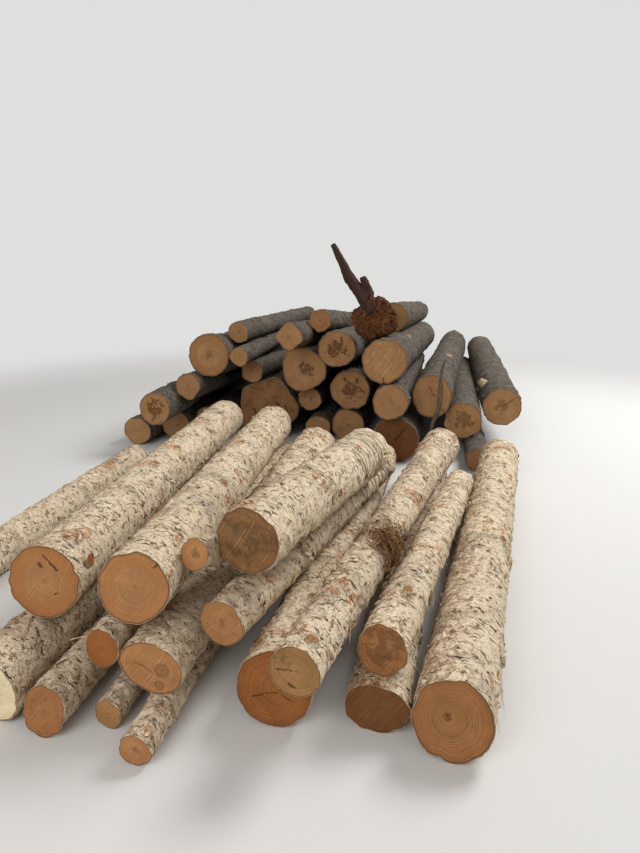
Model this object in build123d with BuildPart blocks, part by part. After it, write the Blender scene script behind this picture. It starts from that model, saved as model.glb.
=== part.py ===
from build123d import *

import math
import os
from typing import NamedTuple

import numpy as np

# Stack of pine logs in two rows, cut ends facing -Y. Lengths are in mm.
# Each log has a place in plan. It rolls sideways from there into a hollow, if
# one is near, and is lowered until it rests on what lies below it.

# Clearance between a log and what it rests on or meets
SEAT_GAP = 0.5

# Furthest that a log rolls sideways to find a hollow, and the step of its search
ROLL_REACH = 64
ROLL_STEP = 8

# Lengths that the logs are cut to
BOLT = 2540
LONG_BOLT = 2720
MID_BOLT = 1750
HALF_BOLT = 1220
BACK_BOLT = 2400
BACK_SHORT_BOLT = 2300
OFFCUT = 2150

# Sides of a log's section, and how far a butt's flare reaches along the log
SIDES = 28
FLARE_SHARE = 0.15

# Cut knot on the upper side of one log
KNOTTED = "front_log_09"
KNOT_DIA = 34
KNOT_SIDES = 10
KNOT_RISE = 20
KNOT_ALONG = 230
KNOT_TURN = 14

# Sides of the stump's root and of the stick
LIMB_SIDES = 12
TWIG_SIDES = 6


class Stem(NamedTuple):
    """One log: how thick, how long and where it lies in plan."""

    name: str
    near_dia: float
    far_dia: float
    length: float
    x: float
    y: float
    heading: float
    slant: float = 0
    flare: float = 0
    far_flare: float = 0
    oval: float = 0
    oval_turn: float = 0
    lobes: int = 0
    lobe_depth: float = 0
    follows: str = ""
    rolls: bool = True


# Columns: name, diameter of the near and the far end, length, plan place of the
# near end, degrees to the right of +Y. Then, where a log has them: slant of the
# near cut in degrees, how much wider the near butt and the far butt are than
# the stem, how much longer the section is than round as a share and the turn of
# its long side in degrees, the butt's lobes and their depth, and the log whose
# far end this log's near end meets. A log that does not roll stays at its place.

# The back row, lowest logs first
BACK_ROW = (
    Stem("back_log_01", 170, 150, BACK_SHORT_BOLT, 1105, 4260, 10, follows="front_log_01"),
    Stem("back_log_02", 340, 290, BACK_BOLT, 545, 4455, 12, flare=20),
    Stem("back_log_03", 265, 240, BACK_BOLT, 225, 5005, 12),
    Stem("back_log_04", 210, 195, BACK_BOLT, -10, 5015, 12),
    Stem("back_log_05", 490, 365, BACK_BOLT, -425, 5095, 12, flare=60, lobes=5, lobe_depth=18),
    Stem("back_log_06", 270, 245, BACK_BOLT, -900, 5085, 12),
    Stem("back_log_07", 245, 220, BACK_BOLT, -1145, 5040, 12),
    Stem("back_log_08", 225, 200, BACK_BOLT, -1430, 4895, 12),
    Stem("back_log_09", 275, 245, BACK_SHORT_BOLT, 1060, 4580, 12),
    Stem("back_log_10", 295, 260, BACK_SHORT_BOLT, 1390, 4740, 9),
    Stem("back_log_11", 255, 230, BACK_BOLT, 495, 4385, 12),
    Stem("back_log_12", 320, 285, BACK_BOLT, 240, 5005, 12, flare=15),
    Stem("back_log_13", 195, 175, BACK_BOLT, -35, 5090, 12),
    Stem("back_log_14", 305, 275, BACK_BOLT, 850, 4540, 15, oval=0.08, oval_turn=95),
    Stem("back_log_15", 245, 215, BACK_BOLT, -1225, 4600, 10),
    Stem("back_log_16", 200, 180, BACK_BOLT, -1010, 4795, 12),
    Stem("back_log_17", 330, 295, BACK_BOLT, -860, 4900, 12, flare=15, rolls=False),
    Stem("back_log_18", 185, 165, BACK_BOLT, -495, 5125, 12),
    Stem("back_log_19", 350, 300, BACK_BOLT, -130, 4960, 11, flare=25, lobes=3, lobe_depth=8),
    Stem("back_log_20", 320, 270, BACK_BOLT, 450, 4430, 15, flare=15, rolls=False),
    Stem("back_log_21", 290, 265, BACK_BOLT, 125, 4870, 15, oval=0.05),
    Stem("back_log_22", 145, 135, BACK_SHORT_BOLT, -620, 4840, 10),
    Stem("back_log_23", 195, 180, BACK_SHORT_BOLT, -225, 4685, 13, lobes=4, lobe_depth=9),
    Stem("back_log_24", 170, 150, OFFCUT, -645, 5060, 14),
    Stem("back_log_25", 175, 150, BACK_SHORT_BOLT, -40, 5010, 14),
    Stem("back_log_26", 240, 215, OFFCUT, 590, 5200, 14),
)

# The front row, lowest logs first
FRONT_ROW = (
    Stem("front_log_01", 255, 255, LONG_BOLT, 400, 1625, 18, slant=12),
    Stem("front_log_02", 195, 165, BOLT, 180, 1730, 14, oval=0.1),
    Stem("front_log_03", 260, 220, BOLT, -150, 1770, 13, slant=8, flare=15),
    Stem("front_log_04", 110, 95, BOLT, -555, 1590, 12),
    Stem("front_log_05", 100, 85, BOLT, -685, 1745, 11, oval=-0.08),
    Stem("front_log_06", 160, 135, BOLT, -880, 1720, 11, slant=10, oval=-0.08),
    Stem("front_log_07", 240, 205, BOLT, -1050, 1760, 11, slant=-8, oval=-0.1),
    Stem("front_log_08", 210, 180, BOLT, -1740, 1800, 10),
    Stem("front_log_09", 170, 155, MID_BOLT, 200, 1790, 20, slant=10, rolls=False),
    Stem("front_log_10", 165, 240, BOLT, -75, 1620, 20, slant=3, far_flare=25, rolls=False),
    Stem("front_log_11", 205, 245, BOLT, -545, 1775, 12, oval=0.09, oval_turn=-20, rolls=False),
    Stem("front_log_12", 165, 160, MID_BOLT, -325, 1860, 23, rolls=False),
    Stem("front_log_13", 130, 115, BOLT, -706, 1800, 11, oval=-0.1, rolls=False),
    Stem("front_log_14", 240, 265, BOLT, -595, 1830, 6, slant=7, far_flare=15, rolls=False),
    Stem("front_log_15", 260, 255, BOLT, -950, 1980, 6, slant=6, flare=10),
    Stem("front_log_16", 110, 95, HALF_BOLT, -420, 1950, 20, rolls=False),
    Stem("front_log_17", 240, 245, HALF_BOLT, -245, 1960, 23, rolls=False),
)

# Rotten stump, laid on the back row like a short log, and its forked root. The
# root's points stand to the right of the stump's middle and above it, with the
# diameter of the root at each.
STUMP = Stem("rotten_stump", 300, 250, 300, 370, 4600, 20, flare=30, lobes=4, lobe_depth=22)
ROOT = ((0, 40, 110), (-95, 165, 95), (-190, 270, 70), (-265, 400, 50), (-345, 530, 32))
PRONG = ((-40, 60, 90), (-60, 190, 75), (-105, 300, 45))

# Stick that stands on the ground and leans on a cut end of the back row. Its
# points stand to the right of that cut's middle, and above the ground as a
# share of the cut's height.
LEANED_ON = "back_log_14"
STICK_DIA = 28
STICK = ((-25, 0.0), (10, 0.53), (53, 0.83), (60, 1.2), (67, 1.45), (89, 1.61))
TWIG_DIA = 12
TWIG = ((55, 0.82), (95, 0.8), (125, 0.68), (155, 0.53))

# How finely an underside is tried against what is below: along and round the log
SEARCH_STEPS = 41
SEARCH_ANGLES = 31
FINAL_STEPS = 281
FINAL_ANGLES = 71
ROLL_HALVINGS = 9
DISC_RINGS = 31
SETTLE_ROUNDS = 4
CLEAR_OF_ALL = -1e6


class LaidLog:
    """A log at rest, with its sections along it."""

    def __init__(self, stem, below):
        self.stem = stem
        self.x, self.y = stem.x, stem.y
        turn = math.radians(stem.heading)
        self.ahead = np.array([math.sin(turn), math.cos(turn)])
        self.right = np.array([math.cos(turn), -math.sin(turn)])
        self.cut = math.tan(math.radians(stem.slant))
        self.set_sections()
        self.height = 0.0
        self.pitch = 0.0
        near_by = [log for log in below if log.may_reach(self)]
        if stem.rolls:
            self.roll(near_by)
        self.settle(near_by, exact=True)
        if stem.follows:
            self.slide_behind([log for log in below if log.stem.name == stem.follows][0])
            self.settle(near_by, exact=True)

    def set_sections(self):
        """Stations along the log, and the corners of its section at each."""
        stem = self.stem
        near_body, far_body = stem.near_dia - stem.flare, stem.far_dia - stem.far_flare
        shares, diameters = [0.0, FLARE_SHARE], [stem.near_dia, 0.0]
        diameters[1] = near_body + (far_body - near_body) * FLARE_SHARE
        if stem.far_flare:
            shares.append(1 - FLARE_SHARE)
            diameters.append(far_body + (near_body - far_body) * FLARE_SHARE)
        shares.append(1.0)
        diameters.append(stem.far_dia)
        self.marks = np.array(shares) * stem.length
        self.radii = np.array(diameters) / 2
        corner = np.arange(SIDES) * 2 * math.pi / SIDES
        long_side = math.radians(stem.oval_turn)
        shape = 1 + stem.oval * np.cos(2 * (corner - long_side))
        reach = self.radii[:, None] * shape[None, :]
        reach[0] += stem.lobe_depth * np.cos(stem.lobes * corner)
        self.corner_x = reach * np.cos(corner)
        self.corner_y = reach * np.sin(corner)
        self.lip = abs(self.cut) * reach[0].max()

    def may_reach(self, other):
        """True where the two logs come near each other in plan, rolled or not."""
        start = np.array([other.x, other.y])
        other_ends = np.array([start, start + other.stem.length * other.ahead])
        start = np.array([self.x, self.y])
        own_ends = np.array([start, start + self.stem.length * self.ahead])
        margin = 1.2 * (self.radii.max() + other.radii.max()) + 2 * ROLL_REACH
        low, high = own_ends.min(axis=0) - margin, own_ends.max(axis=0) + margin
        return bool(np.all(other_ends.max(axis=0) > low) and np.all(other_ends.min(axis=0) < high))

    def roll(self, below):
        """Roll to the lower of the nearest hollows, or stay where none is in reach."""
        start = self.level_at(0.0, below)
        hollows = []
        for step in (ROLL_STEP, -ROLL_STEP):
            shift, here, ahead = 0.0, start, self.level_at(step, below)
            while ahead < here and abs(shift) < ROLL_REACH:
                shift, here = shift + step, ahead
                ahead = self.level_at(shift + step, below)
            if ahead >= here:
                hollows.append((here, shift))
        if len(hollows) == 2 or (hollows and hollows[0][1] != 0.0):
            lowest, best = min(hollows)
            span = float(ROLL_STEP)
            for _ in range(ROLL_HALVINGS):
                span /= 2
                for trial in (best - span, best + span):
                    level = self.level_at(trial, below)
                    if level < lowest:
                        best, lowest = trial, level
            self.shift_sideways(best)
        else:
            self.shift_sideways(0.0)

    def shift_sideways(self, shift):
        """Put the log beside its given place."""
        self.x = self.stem.x + shift * self.right[0]
        self.y = self.stem.y + shift * self.right[1]

    def level_at(self, shift, below):
        """Height of the log's middle at rest, once it is shifted sideways."""
        self.shift_sideways(shift)
        self.settle(below, exact=False)
        return self.height + self.stem.length / 2 * math.sin(self.pitch)

    def settle(self, below, exact):
        """Lower the log until it rests on two places, one each side of its middle."""
        steps, angles = (FINAL_STEPS, FINAL_ANGLES) if exact else (SEARCH_STEPS, SEARCH_ANGLES)
        along = np.linspace(-self.lip, self.stem.length, steps)[:, None]
        angle = np.linspace(math.pi, 2 * math.pi, angles)[None, :]
        across, rise = self.underside(along, angle, exact)
        there = along >= rise * self.cut
        for _ in range(SETTLE_ROUNDS):
            tilt_cos, tilt_sin = math.cos(self.pitch), math.sin(self.pitch)
            ahead = along * tilt_cos - rise * tilt_sin
            x = self.x + ahead * self.ahead[0] + across * self.right[0]
            y = self.y + ahead * self.ahead[1] + across * self.right[1]
            top = np.zeros_like(x)
            for log in below:
                top = np.maximum(top, log.top_over(x, y, exact))
            needed = np.where(there, top - rise * tilt_cos, CLEAR_OF_ALL).max(axis=1)
            run = along[:, 0] * tilt_cos
            middle = self.stem.length / 2 * tilt_cos
            near = run <= middle
            run_near, run_far = run[near][:, None], run[~near][None, :]
            need_near, need_far = needed[near][:, None], needed[~near][None, :]
            slope = (need_far - need_near) / (run_far - run_near)
            at_middle = need_near + slope * (middle - run_near)
            pick = np.unravel_index(at_middle.argmax(), at_middle.shape)
            self.height = float(at_middle[pick] - slope[pick] * middle)
            self.pitch = math.atan(slope[pick])

    def underside(self, along, angle, exact):
        """Points of the lower side: across the log, and up from its axis."""
        if not exact:
            radius = np.interp(along, self.marks, self.radii)
            return radius * np.cos(angle), radius * np.sin(angle)
        weights = self.station_weights(along[:, 0])
        place = angle[0] / (2 * math.pi) * SIDES
        index = np.floor(place).astype(int)
        part = place - index
        here, following = index % SIDES, (index + 1) % SIDES
        corner_x, corner_y = weights @ self.corner_x, weights @ self.corner_y
        across = corner_x[:, here] * (1 - part) + corner_x[:, following] * part
        rise = corner_y[:, here] * (1 - part) + corner_y[:, following] * part
        return across, rise

    def station_weights(self, along):
        """How much each station counts at places along the log."""
        along = np.clip(along, 0, self.stem.length)
        count = len(self.marks)
        return np.stack([np.interp(along, self.marks, np.eye(count)[i]) for i in range(count)], axis=1)

    def top_over(self, x, y, exact):
        """Height of the log's upper side, with the seat gap, over points in plan."""
        ahead = (x - self.x) * self.ahead[0] + (y - self.y) * self.ahead[1]
        across = (x - self.x) * self.right[0] + (y - self.y) * self.right[1]
        tilt_cos, tilt_sin = math.cos(self.pitch), math.sin(self.pitch)
        widest = 1.2 * self.radii.max()
        slack = self.lip + widest * abs(tilt_sin)
        over = (ahead > -slack) & (ahead < self.stem.length + slack) & (np.abs(across) < widest)
        height = np.full(x.shape, CLEAR_OF_ALL)
        if not over.any():
            return height
        ahead, across = ahead[over], across[over]
        rise = self.rise_over(ahead / tilt_cos, across, exact)
        along = (ahead + np.maximum(rise, 0) * tilt_sin) / tilt_cos
        rise = self.rise_over(along, across, exact)
        on_log = (rise > CLEAR_OF_ALL) & (along >= rise * self.cut) & (along <= self.stem.length)
        top = self.height + along * tilt_sin + (rise + SEAT_GAP) * tilt_cos
        height[over] = np.where(on_log, top, CLEAR_OF_ALL)
        return height

    def rise_over(self, along, across, exact):
        """How far the upper side stands above the axis."""
        if not exact:
            radius = np.interp(along, self.marks, self.radii)
            rise = np.sqrt(np.maximum(radius**2 - across**2, 0))
            return np.where(np.abs(across) < radius, rise, CLEAR_OF_ALL)
        weights = self.station_weights(along)
        corner_x, corner_y = weights @ self.corner_x, weights @ self.corner_y
        next_x, next_y = np.roll(corner_x, -1, axis=1), np.roll(corner_y, -1, axis=1)
        across = across[:, None]
        spanned = (corner_x >= across) & (next_x < across)
        part = (corner_x - across) / np.where(spanned, corner_x - next_x, 1)
        rise = corner_y + (next_y - corner_y) * part
        return np.where(spanned, rise, CLEAR_OF_ALL).max(axis=1)

    def slide_behind(self, other):
        """Slide along the heading until the near end meets the other's far end."""
        ahead, own_end, other_end = self.forward(), self.centre(0), other.centre(other.stem.length)
        level_with, met = [], []
        for point in other.disc_points(-1):
            slide = (point - own_end).dot(ahead)
            level_with.append(slide)
            if (point - own_end - ahead * slide).length < self.radii[0]:
                met.append(slide)
        for point in self.disc_points(0):
            slide = (other_end - point).dot(other.forward()) / ahead.dot(other.forward())
            level_with.append(slide)
            if (point + ahead * slide - other_end).length < other.radii[-1]:
                met.append(slide)
        slide = max(met or level_with) + SEAT_GAP
        self.x += slide * self.ahead[0]
        self.y += slide * self.ahead[1]

    def disc_points(self, station):
        """Points all over the section at a station."""
        up = self.sideways().cross(self.forward())
        middle = self.centre(self.marks[station])
        spokes = np.linspace(0, 1, DISC_RINGS)[:, None]
        across = (spokes * self.corner_x[station]).ravel()
        rises = (spokes * self.corner_y[station]).ravel()
        return [
            middle + self.sideways() * float(aside) + up * float(rise)
            for aside, rise in zip(across, rises)
        ]

    def forward(self):
        """Unit vector along the log."""
        tilt_cos = math.cos(self.pitch)
        return Vector(self.ahead[0] * tilt_cos, self.ahead[1] * tilt_cos, math.sin(self.pitch))

    def sideways(self):
        """Level unit vector to the log's right."""
        return Vector(self.right[0], self.right[1], 0)

    def centre(self, along):
        """Point on the log's axis."""
        return Vector(self.x, self.y, self.height) + self.forward() * float(along)


def lay(stems, below):
    """Lay the stems in order, each one on the logs laid before it."""
    laid = list(below)
    for stem in stems:
        laid.append(LaidLog(stem, laid))
    return laid[len(below):]


def station_plane(log, station):
    """Plane of the log's section at a station: x to the right, y up, z to the viewer."""
    forward, sideways = log.forward(), log.sideways()
    rising = sideways.cross(forward)
    cut = math.atan(log.cut) if station == 0 else 0.0
    facing = rising * math.sin(cut) - forward * math.cos(cut)
    return Plane(origin=log.centre(log.marks[station]), x_dir=sideways, z_dir=facing)


def section_corners(log, station):
    """Corners of the section in its plane. A slanted cut makes it taller."""
    taller = math.sqrt(1 + log.cut**2) if station == 0 else 1.0
    corners = zip(log.corner_x[station], log.corner_y[station] * taller)
    return [(float(aside), float(rise)) for aside, rise in corners]


def plan_middle(logs):
    """Middle of the logs' plan box, on the ground."""
    reach = []
    for log in logs:
        for station in range(len(log.marks)):
            plane = station_plane(log, station)
            for aside, rise in section_corners(log, station):
                point = plane.origin + plane.x_dir * aside + plane.y_dir * rise
                reach.append((point.X, point.Y))
    least, greatest = np.min(reach, axis=0), np.max(reach, axis=0)
    return Vector((least[0] + greatest[0]) / 2, (least[1] + greatest[1]) / 2, 0)


def moved(plane):
    """The plane in the frame of the heap's middle."""
    return Plane(origin=plane.origin - origin, x_dir=plane.x_dir, z_dir=plane.z_dir)


def limb_planes(points, x_dir):
    """Planes across a limb at each of its points, square to its run."""
    planes = []
    for i, point in enumerate(points):
        run = points[min(i + 1, len(points) - 1)] - points[max(i - 1, 0)]
        planes.append(Plane(origin=point, x_dir=x_dir, z_dir=run))
    return planes


long_logs = lay(FRONT_ROW[:1], [])
back_logs = lay(BACK_ROW, long_logs)
front_logs = long_logs + lay(FRONT_ROW[1:], long_logs + back_logs)
stump_body = lay([STUMP], back_logs)[0]
origin = plan_middle(back_logs + front_logs)

os.makedirs("parts", exist_ok=True)

for log in back_logs + front_logs:
    with BuildPart() as stem_solid:
        for station in range(len(log.marks)):
            with BuildSketch(moved(station_plane(log, station))):
                Polygon(*section_corners(log, station), align=None)
        loft(ruled=True)
        if log.stem.name == KNOTTED:
            across = moved(station_plane(log, 1))
            turn = math.radians(KNOT_TURN)
            knot_up = across.y_dir * math.cos(turn) + across.x_dir * math.sin(turn)
            knot_foot = across.origin + across.z_dir * (float(log.marks[1]) - KNOT_ALONG)
            with BuildSketch(Plane(origin=knot_foot, z_dir=knot_up)):
                RegularPolygon(KNOT_DIA / 2, KNOT_SIDES)
            extrude(amount=log.stem.near_dia / 2 + KNOT_RISE)
    stem_solid.part.label = log.stem.name
    export_step(stem_solid.part, "parts/" + log.stem.name + ".step")

# Rotten stump: a lobed body, and a forked root that rises from it to the left
stump_middle = moved(station_plane(stump_body, 1))
with BuildPart() as rotten_stump:
    for station in range(len(stump_body.marks)):
        with BuildSketch(moved(station_plane(stump_body, station))):
            Polygon(*section_corners(stump_body, station), align=None)
    loft(ruled=True)
    for limb in (ROOT, PRONG):
        run = [
            stump_middle.origin + stump_middle.x_dir * aside + stump_middle.y_dir * rise
            for aside, rise, _ in limb
        ]
        for plane, (_, _, dia) in zip(limb_planes(run, stump_middle.z_dir), limb):
            with BuildSketch(plane):
                RegularPolygon(dia / 2, LIMB_SIDES)
        loft(ruled=True)
rotten_stump.part.label = "rotten_stump"
export_step(rotten_stump.part, "parts/rotten_stump.step")

# Stick in front of a cut end, with its foot cut level, and a twig low on it
cut_end = moved(station_plane([log for log in back_logs if log.stem.name == LEANED_ON][0], 0))
on_cut = cut_end.origin + cut_end.z_dir * (STICK_DIA / 2 + SEAT_GAP)
cut_rise = on_cut.Z / cut_end.y_dir.Z
with BuildPart() as leaning_stick:
    for limb, dia, sides in ((STICK, STICK_DIA, LIMB_SIDES), (TWIG, TWIG_DIA, TWIG_SIDES)):
        run = [
            on_cut + cut_end.x_dir * aside + cut_end.y_dir * ((share - 1) * cut_rise)
            for aside, share in limb
        ]
        planes = limb_planes(run, cut_end.z_dir)
        if limb is STICK:
            planes[0] = Plane(origin=run[0], x_dir=cut_end.x_dir, z_dir=(0, 0, 1))
        for plane in planes:
            with BuildSketch(plane):
                RegularPolygon(dia / 2, sides)
        loft(ruled=True)
leaning_stick.part.label = "leaning_stick"
export_step(leaning_stick.part, "parts/leaning_stick.step")
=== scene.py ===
"""Stack of pine logs in two rows, dressed with bark, sawn ends, a rotten stump and litter.

Every log is read from its CAD node and gets its bark as a surface over two
parameters: the share of the way along the log, and the angle round it.
"""

import math
from typing import NamedTuple

import bpy
import numpy as np
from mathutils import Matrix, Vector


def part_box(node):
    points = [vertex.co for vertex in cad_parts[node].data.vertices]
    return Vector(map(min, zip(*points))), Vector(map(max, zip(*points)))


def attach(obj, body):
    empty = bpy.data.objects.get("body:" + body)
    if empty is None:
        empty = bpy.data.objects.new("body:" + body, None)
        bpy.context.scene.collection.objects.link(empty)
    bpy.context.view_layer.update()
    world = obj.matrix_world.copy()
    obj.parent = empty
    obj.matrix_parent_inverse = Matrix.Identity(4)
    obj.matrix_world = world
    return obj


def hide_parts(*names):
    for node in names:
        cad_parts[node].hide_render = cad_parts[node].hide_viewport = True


bl_info = {
    "name": "Stack of Pine Logs",
    "version": (1, 0, 0),
    "blender": (4, 2, 0),
    "location": "View3D > Sidebar > Logs",
    "description": "Bark, sawn ends, a rotten stump and litter for a stack of pine logs",
    "category": "Add Mesh",
}

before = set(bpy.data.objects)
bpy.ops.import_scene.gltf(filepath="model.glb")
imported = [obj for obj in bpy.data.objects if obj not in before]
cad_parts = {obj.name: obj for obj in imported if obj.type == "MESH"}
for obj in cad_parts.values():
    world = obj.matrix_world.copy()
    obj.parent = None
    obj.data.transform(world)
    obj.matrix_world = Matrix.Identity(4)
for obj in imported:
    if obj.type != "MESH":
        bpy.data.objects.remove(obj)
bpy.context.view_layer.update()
BODY = "root"
TURN = 2 * math.pi
UPWARDS = (0.0, 0.0, 1.0)
# The slanted cuts' triangles lie within this distance of a log's ends, in metres, and the
# part of their normal that points along the log is at least this
CUT_REACH = 0.1
CUT_FACING = 0.85
# Gloss of wood and bark, which are dull
GLOSS = 0.12
# Radii in metres that the growth rings of plain ends and of cut branches are drawn for
PLAIN_RADIUS, KNOT_RADIUS = 0.12, 0.017
# Rings of points on a sawn end, as shares of the way from its pith to its rim
CUT_RINGS = np.array([0.985, 0.96, 0.9, 0.75, 0.5, 0.25])
# How far the bark's ground level lies inside the node's surface, in metres
SKIN = 0.0015
# Widths of the bark's bells in metres: a ring of old branches, a groove and a notch
WHORL_REACH, GROOVE_REACH, NOTCH_REACH = 0.026, 0.008, 0.03
# Width of a notch's bell round the log, in radians
NOTCH_ANGLE = 0.1
# Where flakes grow round a log, in turns from its right side: on its upper half
FLAKE_TURNS = (-0.08, 0.58)
# Added to a log's seed, so that each use has random draws of its own
DRAWS = {"swells": 0, "tone": 3, "whorls": 5, "plates": 11, "lumps": 17, "flakes": 29}
FRONT_LOGS = sorted(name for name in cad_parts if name.startswith("front_log"))
BACK_LOGS = sorted(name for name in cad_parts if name.startswith("back_log"))


class CutLook(NamedTuple):
    """Finish of a sawn end, with places as shares of its radius to the right and up.

    A stroke is a dark line: right and up of both ends, and width. A knot is right, up
    and radius. The other numbers say how strong a feature is.
    """

    tone: str = "sawn"
    pith: tuple = (0.04, 0.04)
    rings: float = 0.6
    sapwood: float = 0.4
    stain: float = 0.15
    heart: float = 0.0
    heart_reach: float = 0.6
    marks: float = 0.2
    specks: float = 0.0
    moss: float = 0.0
    strokes: tuple = ()
    knots: tuple = ()


CUT_LOOKS = {
    "front_log_01": CutLook(
        pith=(-0.12, 0.1), rings=1.0, sapwood=0.5, stain=0.4, heart=0.9, heart_reach=0.2, marks=0.1
    ),
    "front_log_02": CutLook("dark", stain=0.5, rings=0.3, marks=0.5),
    "front_log_03": CutLook(
        "amber", pith=(0.2, 0.0), rings=1.0, stain=0.3, marks=0.1,
        strokes=(
            (-0.55, -0.27, -0.3, -0.18, 0.03), (-0.2, -0.12, 0.12, -0.08, 0.02),
            (0.2, -0.12, 0.5, -0.25, 0.018),
        ),
    ),
    "front_log_04": CutLook("fresh", pith=(0.0, 0.1), heart=0.4, heart_reach=0.4, specks=0.3, rings=0.7),
    "front_log_05": CutLook("straw", specks=0.75, rings=0.35, sapwood=0.0),
    "front_log_06": CutLook("sawn", specks=0.95, stain=0.25, rings=0.45),
    "front_log_07": CutLook("pale", specks=0.6, stain=0.1, rings=0.25, sapwood=0.1),
    "front_log_08": CutLook("sawn", stain=0.3),
    "front_log_09": CutLook(
        "sawn", pith=(0.0, 0.12), rings=0.9, stain=0.8, heart=0.5, heart_reach=0.5, specks=0.8, moss=0.2
    ),
    "front_log_10": CutLook(
        "straw", pith=(0.1, 0.05), rings=0.9, sapwood=0.1, stain=0.35, marks=0.1, moss=0.7,
        strokes=((-0.69, -0.04, -0.09, 0.04, 0.04), (-0.22, -0.5, 0.0, -0.62, 0.08)),
    ),
    "front_log_11": CutLook(
        "fresh", pith=(0.38, 0.0), rings=0.6, stain=0.45, marks=0.35,
        strokes=((-0.54, 0.16, -0.25, 0.06, 0.022), (-0.25, 0.06, 0.05, -0.14, 0.022)),
        knots=((0.38, -0.02, 0.25), (0.27, -0.58, 0.17)),
    ),
    "front_log_12": CutLook("fresh", stain=0.5, specks=0.7, rings=0.7, heart=0.4, heart_reach=0.4),
    "front_log_13": CutLook("amber", stain=0.05, rings=0.35, sapwood=0.2),
    "front_log_14": CutLook(
        "fresh", stain=0.05, rings=0.75, sapwood=0.8, specks=0.1, strokes=((0.56, 0.58, 0.8, 0.72, 0.035),)
    ),
    "front_log_15": CutLook(
        "fresh", pith=(0.0, 0.02), stain=0.05, rings=0.8, sapwood=1.0,
        strokes=(
            (-0.12, 0.5, -0.04, 0.42, 0.06), (0.0, 0.74, 0.22, 0.5, 0.035), (0.22, 0.5, 0.38, 0.33, 0.06),
            (0.3, -0.33, 0.37, -0.28, 0.035),
        ),
    ),
    "front_log_16": CutLook("fresh", heart=0.5, specks=0.4, rings=0.4),
    "front_log_17": CutLook(
        "weathered", pith=(-0.1, -0.1), rings=1.0, stain=0.8, marks=0.5, specks=0.3, moss=0.4
    ),
    "back_log_02": CutLook("dark", heart=0.6, strokes=((0.0, 0.0, 0.35, 0.45, 0.07),)),
    "back_log_05": CutLook(
        "weathered", pith=(0.15, 0.1), rings=0.4, stain=0.7, specks=0.3,
        strokes=(
            (0.28, 0.2, 0.4, 0.12, 0.05), (0.6, 0.12, 0.68, -0.1, 0.04),
            (-0.5, -0.05, -0.42, -0.25, 0.05),
        ),
    ),
    "back_log_09": CutLook("shaded", heart=0.7, heart_reach=0.75, stain=0.5),
    "back_log_10": CutLook("shaded", heart=0.6, heart_reach=0.4, strokes=((0.0, 0.0, 0.7, 0.55, 0.03),)),
    "back_log_12": CutLook(
        "shaded", pith=(0.0, 0.0), heart=0.9, heart_reach=0.7, stain=0.4,
        strokes=((0.3, 0.55, 0.38, 0.4, 0.08), (-0.3, 0.6, -0.2, 0.45, 0.08), (0.6, 0.0, 0.75, -0.1, 0.06)),
    ),
    "back_log_13": CutLook("shaded", heart=0.2, strokes=((0.05, -0.2, 0.12, 0.2, 0.04),)),
    "back_log_14": CutLook("shaded", strokes=((-0.15, 0.5, 0.0, 0.2, 0.03), (0.0, 0.12, 0.22, 0.0, 0.03))),
    "back_log_15": CutLook("shaded", heart=0.9, heart_reach=0.8, stain=0.5),
    "back_log_17": CutLook("shaded", heart=0.6, heart_reach=0.25, stain=0.3, sapwood=1.0),
    "back_log_19": CutLook("shaded", pith=(0.25, 0.02), heart=0.9, heart_reach=0.45),
    "back_log_20": CutLook("shaded", rings=0.5, marks=0.9, strokes=((-0.02, -0.75, 0.0, -0.95, 0.04),)),
    "back_log_21": CutLook("shaded", heart=1.0, heart_reach=0.8, stain=0.3),
    "back_log_25": CutLook("fresh", stain=0.3, heart=0.3, heart_reach=0.3),
}
PLAIN_BACK_LOOK = CutLook("shaded", heart=0.3, heart_reach=0.3, rings=0.6, stain=0.3)
KNOT_LOOK = CutLook("straw", pith=(0, 0), rings=0.8, stain=0.2)


class Knot(NamedTuple):
    """Cut branch: metres along the log, turns from its right side, diameter and rise in metres."""

    along: float
    turns: float
    diameter: float
    rise: float
    tone: str = "straw"


KNOTS = {
    "front_log_01": (
        Knot(0.354, 0.0, 0.04, 0.012, "amber"), Knot(1.09, 0.02, 0.042, 0.01),
        Knot(1.16, 0.128, 0.034, 0.006, "amber"), Knot(1.85, 0.2, 0.03, 0.01),
    ),
    "front_log_03": (Knot(0.4, 0.21, 0.026, 0.008), Knot(1.62, 0.2, 0.028, 0.01)),
    "front_log_09": (
        Knot(0.23, 0.211, 0.034, 0.021), Knot(0.383, 0.03, 0.038, 0.008), Knot(0.95, 0.27, 0.028, 0.01),
        Knot(1.68, 0.03, 0.024, 0.03),
    ),
    "front_log_10": (Knot(0.056, 0.185, 0.034, 0.01), Knot(0.98, 0.19, 0.03, 0.006)),
    "front_log_12": (Knot(0.5, 0.15, 0.024, 0.008), Knot(1.1, 0.3, 0.024, 0.008)),
    "front_log_14": (Knot(0.85, 0.14, 0.034, 0.012), Knot(1.6, 0.3, 0.03, 0.01)),
    "front_log_15": (
        Knot(0.088, 0.055, 0.042, 0.01, "amber"), Knot(1.0, 0.2, 0.034, 0.01), Knot(1.8, 0.12, 0.03, 0.01),
    ),
    "front_log_17": (Knot(0.55, 0.02, 0.03, 0.01, "amber"), Knot(0.9, -0.02, 0.03, 0.014)),
    "back_log_14": (Knot(0.9, 0.2, 0.034, 0.012),),
    "back_log_20": (Knot(0.7, 0.16, 0.036, 0.012),),
    "back_log_10": (Knot(0.35, 0.4, 0.05, 0.05),),
}

# Rings of old branches, in metres along a log, where they aren't left to chance
WHORLS = {
    "front_log_01": (0.42, 1.08, 1.62, 2.2),
    "front_log_09": (0.3, 0.83, 1.4),
    "front_log_10": (0.475, 1.1, 1.75, 2.3),
    "front_log_12": (0.52, 1.15),
    "front_log_15": (0.63, 1.25, 1.95),
    "front_log_17": (0.5,),
}
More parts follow.
